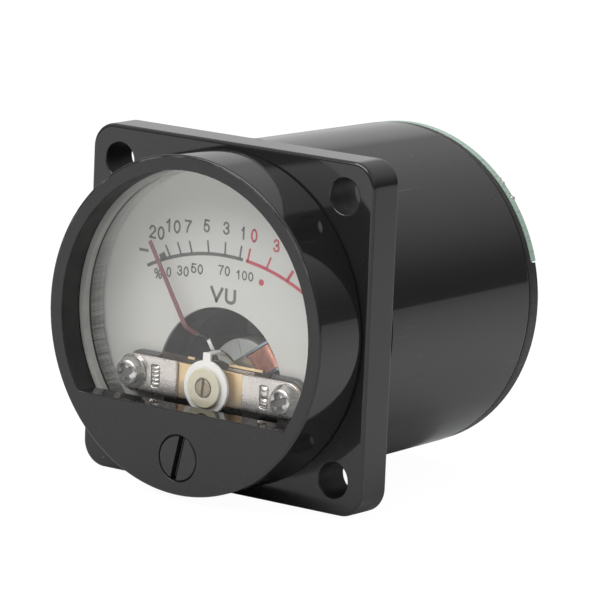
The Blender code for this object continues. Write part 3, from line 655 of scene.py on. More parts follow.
def lacquer(name, base, rough=0.4, wear=(0.45, 0.40, 0.40)):
    """Dull paint on thin metal."""
    made = Finish(name, ior=1.45)
    patchy = made.noise(1800.0, 5.0, 0.7)
    tint = made.mix(made.noise(500.0, 3.0), base, shade(base, 1.25))
    made.color(made.mix(made.map(patchy, 0.62, 0.75, 0.0, 0.5), tint, wear))
    made.rough(made.map(patchy, 0.3, 0.7, rough * 0.8, rough * 1.3))
    made.bump(patchy, 0.01, 0.4)
    return made.material


def plated(name, base, rough=0.22, grain=(90.0, 90.0, 5200.0), dull=0.75, marks=0.35, metallic=1.0):
    """Rolled or plated metal with a grain, handling marks and a patchy shine."""
    made = Finish(name, metallic=metallic)
    lines = made.noise(1.0, 4.0, 0.6, made.stretch(grain))
    cloud = made.noise(420.0, 5.0, 0.6)
    tint = made.mix(cloud, base, tuple(c * dull for c in base))
    pits = made.specks(1500.0, 0.12, marks)
    made.color(made.mix(made.math("MULTIPLY", pits, 0.6), tint, shade(base, 0.45)))
    patch = made.map(cloud, 0.3, 0.75, rough * 0.75, rough * 1.5)
    made.rough(made.math("ADD", patch, made.map(lines, 0.35, 0.65, 0.0, 0.06)))
    made.bump(lines, 0.004, 0.16)
    made.bump(pits, 0.01, 0.4)
    return made.material


def soft_plastic(name, base, rough=0.4, depth=0.35):
    """Cream or white insulating plastic, which light enters a little way."""
    made = Finish(name, ior=1.5, Subsurface_Weight=depth, Subsurface_Scale=0.0006)
    made.shader.inputs["Subsurface Radius"].default_value = (1.0, 0.8, 0.5)
    cloud = made.noise(450.0, 4.0, 0.6)
    grime = made.specks(1300.0, 0.10, 0.25)
    tint = made.mix(cloud, base, shade(base, 0.93))
    made.color(made.mix(made.math("MULTIPLY", grime, 0.3), tint, shade(base, 0.45)))
    made.gloss(900.0, 4.0, rough * 0.8, rough * 1.3)
    made.bump(made.noise(1400.0, 3.0), 0.008, 0.5)
    return made.material


def enamelled_copper(name, base=(0.88, 0.42, 0.32)):
    """Lacquered winding wire: each turn differs a little in shade."""
    made = Finish(name, metallic=0.6, ior=1.5, Coat_Weight=0.6, Coat_Roughness=0.12)
    turns = made.noise(1.0, 2.0, 0.5, made.stretch((700.0, 60.0, 700.0)))
    patch = made.noise(900.0, 3.0)
    tint = made.mix(made.map(turns, 0.35, 0.65, 0.0, 1.0), base, shade(base, 0.7))
    made.color(made.mix(made.map(patch, 0.55, 0.75, 0.0, 0.4), tint, (0.92, 0.52, 0.40)))
    made.rough(made.map(turns, 0.3, 0.7, 0.26, 0.42))
    made.bump(patch, 0.006, 0.4)
    return made.material


def glass_epoxy(name, base=(0.36, 0.50, 0.42)):
    """Green-white laminate with its glass weave."""
    made = Finish(name, ior=1.5)
    warp = made.node("ShaderNodeTexWave", wave_type="BANDS", bands_direction="X")
    weft = made.node("ShaderNodeTexWave", wave_type="BANDS", bands_direction="Z")
    for wave in (warp, weft):
        wave.inputs["Scale"].default_value = 520.0
        wave.inputs["Distortion"].default_value = 0.6
        made.link(made.coords, wave.inputs["Vector"])
    weave = made.math("MULTIPLY", warp.outputs["Fac"], weft.outputs["Fac"])
    tint = made.mix(weave, base, shade(base, 0.78))
    cloud = made.map(made.noise(250.0, 4.0), 0.4, 0.75, 0.0, 0.35)
    made.color(made.mix(cloud, tint, (0.52, 0.60, 0.54)))
    made.gloss(600.0, 3.0, 0.28, 0.5)
    made.bump(weave, 0.01, 0.3)
    return made.material


def solder_mask(name, base=(0.025, 0.17, 0.085)):
    made = Finish(name, ior=1.5, Coat_Weight=0.4, Coat_Roughness=0.1)
    cloud = made.noise(300.0, 4.0)
    made.color(made.mix(cloud, base, (0.045, 0.23, 0.12)))
    made.gloss(900.0, 4.0, 0.22, 0.4)
    made.bump(made.noise(500.0, 3.0), 0.01, 0.5)
    return made.material


def sintered_grey(name, base=(0.075, 0.075, 0.075), rough=0.55):
    """Dull grey of moulded or cast inner pieces."""
    made = Finish(name, ior=1.45)
    cloud = made.noise(350.0, 5.0, 0.65)
    made.color(made.mix(cloud, base, shade(base, 1.6)))
    made.gloss(1200.0, 4.0, rough * 0.8, rough * 1.2)
    made.bump(made.noise(2200.0, 4.0), 0.02, 0.5)
    return made.material


def lamp_glass(name):
    made = Finish(name, ior=1.45, Transmission_Weight=0.6)
    cloud = made.noise(700.0, 3.0)
    made.color(made.mix(cloud, (0.95, 0.85, 0.62), (0.80, 0.70, 0.50)))
    made.rough(made.map(cloud, 0.3, 0.7, 0.08, 0.2))
    return made.material


FINISHES = {
    # The band at the barrel's rear rim is a painted highlight.
    "case": moulded_black("case_plastic", rim=(BARREL_REAR - 0.16, BARREL_REAR + 0.1)),
    "hole": satin_black("hole_plastic", rough=0.55),
    "bezel_side": moulded_black("bezel_plastic", dust=0.07),
    # The band round the bezel face's outer edge is a painted highlight on its upper part.
    "bezel": satin_black("bezel_face_plastic", edge=(BEZEL_RADIUS - 0.34, BEZEL_RADIUS - 0.2)),
    "adjuster": moulded_black("adjuster_plastic", rough=0.14, dust=0.2),
    "pane": clear_plastic("pane_plastic"),
    "pane_wall": clear_plastic("pane_wall_plastic", haze=0.62),
    "pane_skirt": clear_plastic("pane_skirt_plastic", haze=0.55, streaks=True),
    "dial": painted_dial("dial_paint"),
    "ink": ink("dial_ink", (0.115, 0.12, 0.115)),
    "red_ink": ink("dial_red_ink", (0.50, 0.045, 0.075)),
    "pointer": lacquer("pointer_paint", (0.185, 0.07, 0.08), wear=(0.26, 0.2, 0.2)),
    "bright": plated("bright_strip", (0.86, 0.84, 0.82), 0.2, (90.0, 90.0, 4000.0)),
    "nickel": plated("nickel_plate", (0.78, 0.73, 0.70), 0.21, (120.0, 120.0, 3600.0), 0.93, 0.03),
    "screw": plated("screw_steel", (0.84, 0.82, 0.80), 0.22, (800.0, 800.0, 800.0), 0.7, 0.2),
    # Dark steel for the cross recesses of the screws: painted shade.
    "recess": plated("recess_shade_steel", (0.22, 0.215, 0.21), 0.4, (800.0, 800.0, 800.0), 0.5, 0.3, 0.7),
    "brass": plated("brass_bar", (0.97, 0.73, 0.43), 0.3, (120.0, 120.0, 3600.0), 0.9, 0.05),
    # Also the rib's dark face, where it is a painted shade.
    "brown": plated("brown_brass_and_shade", (0.085, 0.058, 0.045), 0.4, (300.0, 300.0, 3000.0), 0.6, 0.3),
    "jewel_brass": plated("jewel_brass", (0.52, 0.44, 0.33), 0.26, (900.0, 900.0, 900.0), 0.5, 0.4),
    "spring": plated("spring_bronze", (0.78, 0.58, 0.34), 0.3, (700.0, 700.0, 700.0), 0.6, 0.2),
    "iron": plated("soft_iron", (0.38, 0.38, 0.38), 0.42, (600.0, 4000.0, 600.0), 0.7, 0.3),
    "core": plated("core_plate", (0.84, 0.855, 0.815), 0.4, (3000.0, 120.0, 400.0), 0.88, 0.1, 0.2),
    "aluminium": plated("aluminium_sheet", (0.66, 0.68, 0.70), 0.32, (900.0, 900.0, 3000.0), 0.75, 0.25),
    "former": plated("former_foil", (0.50, 0.60, 0.68), 0.3, (900.0, 900.0, 900.0), 0.8, 0.1),
    "tin": plated("solder", (0.74, 0.74, 0.73), 0.3, (700.0, 700.0, 700.0), 0.7, 0.5),
    "copper": enamelled_copper("winding_wire"),
    "cream": soft_plastic("cream_disc", (0.74, 0.70, 0.54), 0.3, 0.2),
    "white": soft_plastic("white_ring", (0.97, 0.965, 0.95), 0.16, 0.1),
    "laminate": glass_epoxy("board_laminate"),
    "mask": solder_mask("board_mask"),
    "grey": sintered_grey("inner_moulding"),
    "dark": sintered_grey("post_moulding", (0.05, 0.052, 0.052), 0.35),
    "shade": sintered_grey("inner_shade", (0.045, 0.045, 0.045), 0.6),
    "cover": sintered_grey("cover_plastic", (0.016, 0.016, 0.016), 0.4),
    "chip": sintered_grey("chip_epoxy", (0.02, 0.02, 0.022), 0.5),
    "tantalum": soft_plastic("capacitor_body", (0.62, 0.40, 0.14), 0.45, 0.1),
    "ceramic": soft_plastic("resistor_ceramic", (0.78, 0.78, 0.76), 0.45, 0.1),
    "lamp": lamp_glass("lamp_glass"),
    "wire_red": soft_plastic("wire_red_sleeve", (0.45, 0.04, 0.04), 0.4, 0.1),
    "wire_black": soft_plastic("wire_black_sleeve", (0.03, 0.03, 0.03), 0.4, 0.0),
}


def dress(thing, kind, slot, *nodes, body="housing"):
    """Give a piece its finish, the body it rides on and the nodes it stands for; the slot argument is not
    used.
    """
    thing.data.materials.clear()
    thing.data.materials.append(FINISHES[kind])
    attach(thing, body)
    if nodes:
        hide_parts(*nodes)
    return thing


def refinish(thing, kind, chosen):
    """Give the faces that pass a test another finish."""
    thing.data.materials.append(FINISHES[kind])
    index = len(thing.data.materials) - 1
    for face in thing.data.polygons:
        if chosen(face):
            face.material_index = index


def repaint(node, kind):
    """A CAD node keeps its mesh and gets a better material."""
    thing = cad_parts[node]
    thing.data.materials.clear()
    thing.data.materials.append(FINISHES[kind])


# ---- case

def flange_outline():
    half = FLANGE_HALF
    return rounded_box(-half, -half, half, half, FLANGE_CORNER, 16)


def make_case():
    """Flange, barrel and bore as one closed shell with rounded edges."""
    shape = bmesh.new()
    put = facing()
    edge, lip = 0.45, 0.18
    first, last = skin(shape, put, rounded_rings(flange_outline(), FLANGE_FRONT, 0.0, edge, edge, 5))
    fronts, rears = [first], [last]
    for sx in (-1, 1):
        for sz in (-1, 1):
            points = circle(sx * HOLE_PITCH / 2, sz * HOLE_PITCH / 2, HOLE_RADIUS, SMALL)[::-1]
            first, last = skin(shape, put, rounded_rings(points, FLANGE_FRONT, 0.0, lip, lip, 3))
            fronts.append(first)
            rears.append(last)

    root, rim = 0.5, 0.4
    profile = [(BARREL_FRONT_RADIUS + away, y) for away, y in quarter(root, 5)]
    profile += rear_rim(BARREL_REAR_RADIUS, BARREL_REAR, rim, 6)
    profile += [(BORE_RADIUS + 0.2, BARREL_REAR), (BORE_RADIUS, BARREL_REAR - 0.2)]
    profile.append((BORE_RADIUS, FLANGE_FRONT))
    first, last = skin(shape, put, [(circle(0, 0, r, ROUND), y) for r, y in profile])
    fill(shape, [*fronts, last])
    fill(shape, [*rears, first])
    shell = new_object("case_shell", shape, 50.0)
    dress(shell, "case", "case_black", "case_body")

    def in_hole(face):
        x, z = abs(face.center.x / MM), abs(face.center.z / MM)
        reach = hypot(x - HOLE_PITCH / 2, z - HOLE_PITCH / 2)
        return reach < HOLE_RADIUS + 0.08 and abs(face.normal.y) < 0.3

    refinish(shell, "hole", in_hole)


def window_outline():
    """A circle closed below by a straight chord, with small rounded corners."""
    radius, chord = WINDOW_RADIUS, WINDOW_CHORD
    start = asin(chord / radius)
    points = arc(0, 0, radius, start, pi - start, 150)
    half = radius * cos(start)
    points += [(-half + 2 * half * i / 24, chord) for i in range(1, 24)]
    return points


def make_bezel():
    shape = bmesh.new()
    put = facing()
    edge, lip, hole_lip = 0.3, 0.16, 0.1
    profile = front_rim(BEZEL_RADIUS, BEZEL_FRONT, edge, 5)
    profile += rear_rim(BEZEL_RADIUS, BEZEL_BASE, 0.12, 3)
    profile += [(POCKET_RADIUS, BEZEL_BASE), (POCKET_RADIUS, POCKET_FLOOR)]
    first, last = skin(shape, put, [(circle(0, 0, r, ROUND), y) for r, y in profile])
    fronts, rears = [first], [last]
    hole = circle(0, ADJUSTER_Z, ADJUSTER_HOLE, MEDIUM)
    for points, depth in ((window_outline(), lip), (hole, hole_lip)):
        points = points[::-1]
        rings = [(inset(points, d), BEZEL_FRONT + drop) for d, drop in quarter(depth, 4)]
        first, last = skin(shape, put, [*rings, (points, POCKET_FLOOR)])
        fronts.append(first)
        rears.append(last)
    fill(shape, fronts)
    fill(shape, rears)
    bezel = new_object("bezel_ring", shape, 50.0)
    dress(bezel, "bezel", "case_black", "front_bezel")

    def in_window(face):
        reach = hypot(face.center.x, face.center.z) / MM
        return reach < WINDOW_RADIUS + 0.1 and abs(face.normal.y) < 0.7 and face.normal.z < 0.7

    refinish(bezel, "bezel_side", lambda face: abs(face.normal.y) < 0.7)
    refinish(bezel, "hole", in_window)


def make_lens():
    """The clear cup: a flat pane, its side wall and the ribbed skirt behind a thin seam."""
    wall, pane, hole = 0.8, 0.5, 1.85
    profile = [(0, LENS_FRONT), *front_rim(LENS_RADIUS, LENS_FRONT, 0.15, 3)]
    profile += [(LENS_RADIUS, LENS_FRONT + pane), (0, LENS_FRONT + pane)]
    face = turned("lens_pane", profile, ROUND)
    profile = [(0, LENS_FRONT - 2), (hole, LENS_FRONT - 2), (hole, 0), (0, 0)]
    carve(face, turned("lens_hole", profile, SMALL, z=ADJUSTER_Z))
    dress(face, "pane", "window_clear", "window_lens")
    inner = LENS_RADIUS - wall
    front = LENS_FRONT + pane + 0.02
    rings = (("lens_wall", "pane_wall", front, LENS_SEAM, 0.12),
             ("lens_skirt", "pane_skirt", LENS_SEAM + 0.12, LENS_REAR, 0.06))
    for name, kind, front, rear, rounding in rings:
        section = [(LENS_RADIUS, front), (LENS_RADIUS, rear), (inner, rear), (inner, front)]
        dress(turned(name, fillet(section, rounding), ROUND), kind, "window_clear", "window_lens")


# ---- dial

def dial_outline():
    start = asin(DIAL_FOOT / DIAL_RADIUS)
    drop = asin((DIAL_FOOT - PIVOT_Z) / CUTOUT_RADIUS)
    outer = arc(0, 0, DIAL_RADIUS, start, pi - start, 140)
    return outer + arc(0, PIVOT_Z, CUTOUT_RADIUS, pi - drop, drop, 90)


def make_dial():
    holes = [circle(side * SCREW_X, SCREW_Z, 1.3, 32) for side in (-1, 1)]
    dial = plate("dial_face", [dial_outline(), *holes], DIAL_FRONT, DIAL_REAR, 0.06, steps=3)
    dress(dial, "dial", "dial_print", "dial_plate")
    make_print()


SCALE_CENTRE = (0.15, -19.4)        # centre of the printed arc, which isn't the pivot
SCALE_RADIUS = 27.5
SCALE_LINE = 0.44
TICK_LENGTH = 1.72
TICK_LINE = 0.27


def scale_radius(clockwise):
    """Distance from the pivot to the printed arc at an angle clockwise from vertical in degrees."""
    out = Vector((sin(radians(clockwise)), cos(radians(clockwise))))
    offset = Vector((-SCALE_CENTRE[0], PIVOT_Z - SCALE_CENTRE[1]))
    along = offset.dot(out)
    return -along + (along * along - offset.length_squared + SCALE_RADIUS ** 2) ** 0.5


def scale_arc(x0, x1, steps):
    cx, cz = SCALE_CENTRE
    start = acos((x0 - cx) / SCALE_RADIUS)
    end = acos((x1 - cx) / SCALE_RADIUS)
    return ribbon(arc(cx, cz, SCALE_RADIUS, start, end, steps), SCALE_LINE)


def tick(clockwise, length=TICK_LENGTH, width=TICK_LINE):
    start = scale_radius(clockwise)
    return ribbon([polar(start, clockwise), polar(start + length, clockwise)], width)


def bend(cu, cv, ru, rv, start, end, steps=20):
    """Part of an ellipse in a character's unit box, between angles in degrees."""
    turns = (radians(start + (end - start) * i / steps) for i in range(steps + 1))
    return [(cu + ru * cos(t), cv + rv * sin(t)) for t in turns]


# Each character: where its ink starts and ends, its advance (in heights), and its strokes in a unit box
CHARACTERS = {
    "0": (0.06, 0.71, 0.78, [
        bend(0.5, 0.5, 0.5, 0.5, 90, 270), bend(0.5, 0.5, 0.5, 0.5, -90, 90)]),
    "1": (0.15, 0.52, 0.78, [
        [(0.0, 0.74), (0.5, 0.85), (1.0, 1.0)], [(1.0, 1.0), (1.0, 0.0)]]),
    "2": (0.06, 0.71, 0.78, [
        bend(0.5, 0.72, 0.48, 0.28, 175, -35) + [(0.3, 0.22), (0.0, 0.0)], [(0.0, 0.0), (1.0, 0.0)]]),
    "3": (0.06, 0.71, 0.78, [
        bend(0.48, 0.75, 0.43, 0.25, 165, -85), bend(0.5, 0.26, 0.5, 0.26, 80, -165)]),
    "5": (0.05, 0.71, 0.78, [
        [(0.92, 1.0), (0.2, 1.0)], [(0.2, 1.0), (0.06, 0.48)], bend(0.5, 0.32, 0.5, 0.32, 150, -160)]),
    "7": (0.07, 0.71, 0.78, [
        [(0.0, 1.0), (1.0, 1.0)], [(1.0, 1.0), (0.66, 0.64), (0.42, 0.3), (0.34, 0.0)]]),
    "%": (0.08, 1.16, 1.24, [
        bend(0.18, 0.76, 0.18, 0.24, 90, 270), bend(0.18, 0.76, 0.18, 0.24, -90, 90),
        bend(0.82, 0.24, 0.18, 0.24, 90, 270), bend(0.82, 0.24, 0.18, 0.24, -90, 90),
        [(0.74, 1.0), (0.26, 0.0)]]),
    "V": (0.01, 0.92, 0.93, [
        [(0.0, 1.0), (0.5, 0.0)], [(0.5, 0.0), (1.0, 1.0)]]),
    "U": (0.11, 0.89, 1.0, [
        [(0.0, 1.0), (0.0, 0.34)] + bend(0.5, 0.32, 0.5, 0.32, 180, 360) + [(1.0, 0.34), (1.0, 1.0)]]),
}
INK_WEIGHT = 0.158      # width of a stroke, in heights


def glyphs(text, x, z, width, height, weight=INK_WEIGHT):
    """Characters drawn with strokes of one width, fitted to a box centred on (x, z)."""
    starts, pen = [], 0.0
    for letter in text:
        starts.append(pen)
        pen += CHARACTERS[letter][2]
    first = CHARACTERS[text[0]][0]
    last = starts[-1] + CHARACTERS[text[-1]][1]
    scale = width / (last - first)
    line = weight * height
    made = []
    for letter, start in zip(text, starts):
        ink_start, ink_end, _, strokes = CHARACTERS[letter]
        left = x - width / 2 + (start + ink_start - first) * scale + line / 2
        across = (ink_end - ink_start) * scale - line
        low, up = z - height / 2 + line / 2, height - line
        for stroke in strokes:
            path = [(left + u * across, low + v * up) for u, v in stroke]
            made.append(printed(stroke_outline(path, line)))
    return merged("glyphs", made)


def stroke_outline(path, line):
    """A stroke whose two ends run on by half its width, so that strokes meet squarely."""
    ends = []
    for here, inner in ((path[0], path[1]), (path[-1], path[-2])):
        reach = line / 2 / hypot(here[0] - inner[0], here[1] - inner[1])
        ends.append((here[0] + (here[0] - inner[0]) * reach, here[1] + (here[1] - inner[1]) * reach))
    return ribbon([ends[0], *path[1:-1], ends[1]], line)


def printed(points):
    return plate("print_strip", [points], DIAL_FRONT - 0.022, DIAL_FRONT - 0.006, 0.004, steps=1)


LABELS = (
    ("20", -11.05, 9.55, 2.5, 1.75), ("10", -8.4, 10.72, 2.35, 1.72), ("7", -6.03, 11.0, 1.15, 1.68),
    ("5", -3.04, 11.48, 1.02, 1.7), ("3", 0.12, 11.62, 1.05, 1.7), ("1", 2.78, 11.37, 0.5, 1.66),
    ("%", -10.6, 4.28, 1.3, 1.35), ("0", -8.88, 4.71, 0.8, 1.3), ("30", -6.6, 5.17, 1.9, 1.32),
    ("50", -4.35, 5.78, 1.95, 1.3), ("70", 0.03, 6.17, 1.85, 1.27), ("100", 3.35, 5.98, 2.7, 1.22),
    ("VU", 0.0, 2.95, 4.15, 2.0, 0.21),
)
RED_LABELS = (("0", 4.58, 11.28, 1.05, 1.75), ("3", 8.15, 10.5, 1.05, 1.68))
TICKS = (-29.8, -23.8, -17.9, -8.7, 0.25, 8.3)
RED_TICKS = (12.6, 22.9)


def make_print():
    grey = [printed(scale_arc(-12.4, 2.95, 60))]
    grey += [printed(tick(angle)) for angle in TICKS]
    grey.append(printed(tick(-33.2, 0.85, 1.0)))
    grey.append(printed(ribbon([(-13.8, 7.0), (-12.3, 7.0)], 0.36)))
    grey += [glyphs(*label) for label in LABELS]
    dress(merged("dial_scale", grey), "ink", "dial_print")
    red = [printed(scale_arc(3.42, 14.0, 50))]
    red += [printed(tick(angle)) for angle in RED_TICKS]
    red.append(printed(tick(34.0, TICK_LENGTH, 0.42)))
    red.append(printed(circle(6.0, 5.5, 0.41, 32)))
    red += [glyphs(*label) for label in RED_LABELS]
    dress(merged("dial_scale_red", red), "red_ink", "dial_print")


# ---- pointer and coil

def strip_piece(name, path, widths, thickness):
    """A bent metal strip: a path in the pointer's side plan, with a width at each of its points."""
    shape = bmesh.new()
    put = side_plan(POINTER_ANGLE)
    outline = ribbon(path, thickness)
    count = len(path)
    order = list(range(count)) + list(range(count))[::-1]
    halves = [widths[i] / 2 for i in order]
    right = add_loop(shape, [put(px, py, -h) for (px, py), h in zip(outline, halves)])
    left = add_loop(shape, [put(px, py, h) for (px, py), h in zip(outline, halves)])
    bridge(shape, right, left)
    for loop in (right, left):
        for i in range(count - 1):
            j = len(loop) - 1 - i
            shape.faces.new((loop[i], loop[i + 1], loop[j - 1], loop[j]))
    made = new_object(name, shape, 30.0, weighted=False)
    rounding = made.modifiers.new("edges", "BEVEL")
    rounding.width = 0.025 * MM
    rounding.segments = 2
    rounding.limit_method = "ANGLE"
    rounding.angle_limit = radians(60)
    return made


def make_pointer():
    root_y = span("balance_arm_side")[0].y + 0.07
    plane = y_span("pointer")[0] + 0.07
    width, thickness, reach = 0.62, 0.14, 20.3
    root = fillet([(1.3, root_y), (6.2, root_y), (6.55, root_y - 0.45), (7.05, -6.15)], 0.5, 6)
    root = strip_piece("pointer_root", root, [width] * len(root), thickness)
    dress(root, "bright", "pointer_paint", "pointer", body="moving_coil")
    blade = fillet([(7.08, -6.25), (7.9, plane + 0.45), (8.6, plane), (reach, plane)], 0.6, 6)
    widths = [0.66 - 0.1 * (px - 7.0) / 13.3 for px, _ in blade]
    blade = strip_piece("pointer_blade", blade, widths, thickness)
    dress(blade, "pointer", "pointer_paint", "pointer", body="moving_coil")


def loop_outline(reach, front, rear, corner):
    return rounded_box(-reach, front, reach, rear, corner, 12)


def make_winding():
    """The coil as a wound band: its outside is a row of parallel turns of wire."""
    low, high = span("coil_winding")
    reach, radial, axial, half = 8.5, 1.6, 1.4, 1.6
    front, rear = low.y, high.y
    turns, samples, groove_depth = 20, 6, 0.045
    outer = loop_outline(reach, front, rear, 1.4)
    inner = loop_outline(reach - radial, front + axial, rear - axial, 0.5)
    shape = bmesh.new()
    put = side_plan(COIL_ANGLE)
    loops = []
    for i in range(turns * samples + 1):
        share = i / (turns * samples)
        groove = groove_depth * (1 - abs(sin(pi * turns * share)))
        w = -half + 2 * half * share
        loops.append(add_loop(shape, [put(px, py, w) for px, py in inset(outer, groove)]))
    for w in (half, -half):
        loops.append(add_loop(shape, [put(px, py, w) for px, py in inner]))
    loops.append(loops[0])
    for a, b in zip(loops, loops[1:]):
        bridge(shape, a, b)
    winding = new_object("coil_wire", shape, 60.0, weighted=False)
    dress(winding, "copper", "copper_wire", "coil_winding", body="moving_coil")


def make_core():
    """Round core with a rounded rim and a scribed line across its face."""
    front, rear = y_span("core_magnet")
    radius = 5.3
    profile = [(0, front), *front_rim(radius, front, 0.35, 5), (radius, rear), (0, rear)]
    core = turned("core_face", profile, MEDIUM, z=PIVOT_Z)
    lean = Matrix.Rotation(radians(-21), 4, "Y")
    groove = block("core_groove", (0.22, 0.3, 4.4), (-0.7, front, -4.3), 0.0, lean)
    dress(carve(core, groove), "core", "nickel_plate", "core_magnet")


# ---- bridge

def end_outline(inner, outer, height, steps=16):
    radius = height / 2 - 0.2
    top, low = BRIDGE_Z + height / 2, BRIDGE_Z - height / 2
    points = [(inner, low)]
    points += arc(outer - radius, low + radius, radius, -pi / 2, 0.0, steps)
    points += arc(outer - radius, top - radius, radius, 0.0, pi / 2, steps)
    points.append((inner, top))
    return points


def mirrored(points, side):
    return [(side * x, z) for x, z in points]


def make_bridge():
    brass = end_outline(0.0, PLATE_OUTER - 0.4, 4.6)
    brass = brass[1:-1] + mirrored(brass[1:-1], -1)[::-1]
    holes = [circle(side * SCREW_X, SCREW_Z, 1.15, 32) for side in (-1, 1)]
    holes.append(circle(0, PIVOT_Z, JEWEL_RADIUS + 0.05))
    bar = plate("bridge_bar", [brass, *holes], BRASS_FRONT, BRASS_REAR, 0.08)
    dress(bar, "brass", "brass", "bearing_bridge")
    make_rib()
    for label, side in SIDES:
        make_bridge_end(label, side)


def make_rib():
    """The rib behind the bar in a painted shade, its lips in lit golden brass and two thin bright strips
    of painted highlight.
    """
    low, top, face = BRIDGE_Z + 2.32, RIB_SPAN_Z[1], BRASS_REAR - RIB_THICK
    outline = rounded_box(-RIB_HALF, low, RIB_HALF, top - 0.04, 0.15)
    rib = plate("bridge_rib", [outline], face + 0.02, BRASS_REAR, 0.05)
    # The rib's dark brown is a painted shade.
    dress(rib, "brown", "brass", "bearing_bridge")
    for (label, _), (x0, x1) in zip(SIDES, ((-4.1, -3.0), (2.5, 7.9))):
        outline = rounded_box(x0, top - 0.34, x1, top, 0.1)
        lip = plate(f"bridge_lip_{label}", [outline], face, BRASS_REAR - 0.02, 0.05)
        dress(lip, "brass", "brass", "bearing_bridge")
    # Two bright strips stand in for reflections: painted highlights.
    for label, z in (("low", low + 0.12), ("high", low + 0.3)):
        outline = rounded_box(2.4, z, 6.6, z + 0.09, 0.04)
        glint_strip = plate(f"bridge_fold_{label}", [outline], face - 0.03, BRASS_REAR - 0.1, 0.02, steps=2)
        dress(glint_strip, "bright", "brass", "bearing_bridge")


def make_bridge_end(label, side):
    hole = circle(side * SCREW_X, SCREW_Z, 1.15, 32)
    slot = box_outline(side * SLOT_X, BRIDGE_Z, *SLOT_SIZE, 0.4)
    outline = mirrored(end_outline(PLATE_INNER, PLATE_OUTER, 4.9), side)
    end = plate(f"bridge_strip_{label}", [outline, hole, slot], PLATE_FRONT, PLATE_REAR, 0.13, 0.05)
    dress(end, "nickel", "nickel_plate", f"bridge_plate_{label}")
    make_tab(label, side)
    low, high = span(f"bridge_post_{label}")
    outline = mirrored(end_outline(POST_INNER, PLATE_OUTER, 5.5), side)
    post = plate(f"bridge_foot_{label}", [outline, hole], low.y, high.y, 0.45, 0.1, steps=6)
    dress(post, "dark", "inner_plastic", f"bridge_post_{label}")
    make_screw(label, side)


def make_tab(label, side):
    """The staked tongue in a slot: a strip whose face was upset into round lumps."""
    low, high = span(f"bridge_tab_{label}")
    width, height = high.x - low.x, high.z - low.z
    put = facing(side * SLOT_X, BRIDGE_Z)
    shape = bmesh.new()
    across, up = 16, 40
    lumps, skew = (5, 1.0) if side < 0 else (2, 0.75)
    grid = []
    for j in range(up + 1):
        row = []
        for i in range(across + 1):
            u, v = i / across * 2 - 1, j / up * 2 - 1
            rim = max(0.0, 1 - abs(u) ** 6) * max(0.0, 1 - abs(v) ** 10)
            wave = abs(sin(pi * lumps * ((v + 1) / 2) ** skew)) ** 0.6
            lump = (0.04 + 0.26 * wave) * rim * (1 - 0.5 * u * u)
            lump += 0.03 * noise.noise(Vector((u * 2, v * 4, side * 3.0))) * rim
            row.append(shape.verts.new(put(u * width / 2, v * height / 2, low.y + 0.2 - lump)))
        grid.append(row)
    for a, b in zip(grid, grid[1:]):
        bridge(shape, a, b, closed=False)
    rim = grid[0] + [row[-1] for row in grid[1:]] + grid[-1][-2::-1] + [row[0] for row in grid[-2:0:-1]]
    back = add_loop(shape, [Vector((v.co.x, high.y * MM, v.co.z)) for v in rim])
    bridge(shape, rim, back)
    shape.faces.new(back)
    stake = new_object(f"bridge_stake_{label}", shape, 60.0)
    dress(stake, "bright", "nickel_plate", f"bridge_tab_{label}")


def star(reach, width, lean, round_in=0.12):
    """Outline of a cross with its inner corners rounded."""
    points = []
    for k in range(4):
        turn = lean + k * pi / 2
        out = Vector((cos(turn), sin(turn)))
        side = Vector((-sin(turn), cos(turn)))
        inner = width / 2 + round_in
        for along, across in ((inner, -1), (reach - width * 0.3, -1), (reach, -0.6), (reach, 0.6),
                              (reach - width * 0.3, 1), (inner, 1)):
            points.append(tuple(out * along + side * across * width / 2))
    return points


def make_screw(label, side):
    """Pan head with a cross recess that narrows inwards, on its shank."""
    low, high = span(f"bridge_screw_{label}")
    top, seat, foot, rim, shank = low.y, PLATE_FRONT - 0.08, 2.15, 1.75, 1.0
    turns = (pi / 2 * i / 12 for i in range(1, 13))
    dome = [(rim * sin(t) ** 0.8, top + 0.5 * (1 - cos(t)) ** 1.3) for t in turns]
    profile = [(0, top), *dome, (foot - 0.08, seat - 0.3), (foot, seat - 0.2), (foot, seat - 0.05)]
    profile += [(foot - 0.05, seat), (shank, seat), (shank, high.y), (0, high.y)]
    head = turned(f"bridge_screw_head_{label}", profile, 72, side * SCREW_X, SCREW_Z, 35.0)
    shape = bmesh.new()
    put = facing(side * SCREW_X, SCREW_Z)
    lean = radians(28 if side < 0 else 20)
    rings = [(1.36, 1.0, top - 0.3), (1.3, 0.94, top + 0.08), (1.02, 0.7, top + 0.5)]
    for loop in skin(shape, put, [(star(reach, width, lean), y) for reach, width, y in rings]):
        shape.faces.new(loop)
    carve(head, new_object("recess", shape), sharp=35.0)
    dress(head, "screw", "steel", f"bridge_screw_{label}")

    def in_recess(face):
        place = face.center / MM - Vector((side * SCREW_X, 0.0, SCREW_Z))
        return hypot(place.x, place.z) < 1.4 and top + 0.14 < place.y < top + 0.6

    # The recess's faces take the dark steel: a painted shade.
    refinish(head, "recess", in_recess)


# ---- hub

def make_hub():
    front, rear = y_span("lock_disc")
    bore, rim = 1.3, 2.55
    section = [(bore, (front + rear) / 2), (bore, front), (rim, front), (rim, rear), (bore, rear)]
    disc = turned("insulating_disc", fillet(section, 0.14, 5)[1:], MEDIUM, z=PIVOT_Z)
    dress(disc, "cream", "cream_plastic", "lock_disc")

    front, rear = y_span("jewel_screw_front")
    profile = [(0, front), *front_rim(JEWEL_RADIUS, front, 0.14, 4)]
    profile += [(JEWEL_RADIUS, rear), (0.45, rear), (0, rear - 0.5)]
    screw = turned("jewel_screw_body", profile, SMALL, z=PIVOT_Z)
    lean = Matrix.Rotation(radians(4), 4, "Y")
    slot = block("jewel_slot", (0.42, 0.9, 3.0), (0.0, front, PIVOT_Z), 0.0, lean)
    dress(carve(screw, slot), "jewel_brass", "brass", "jewel_screw_front")


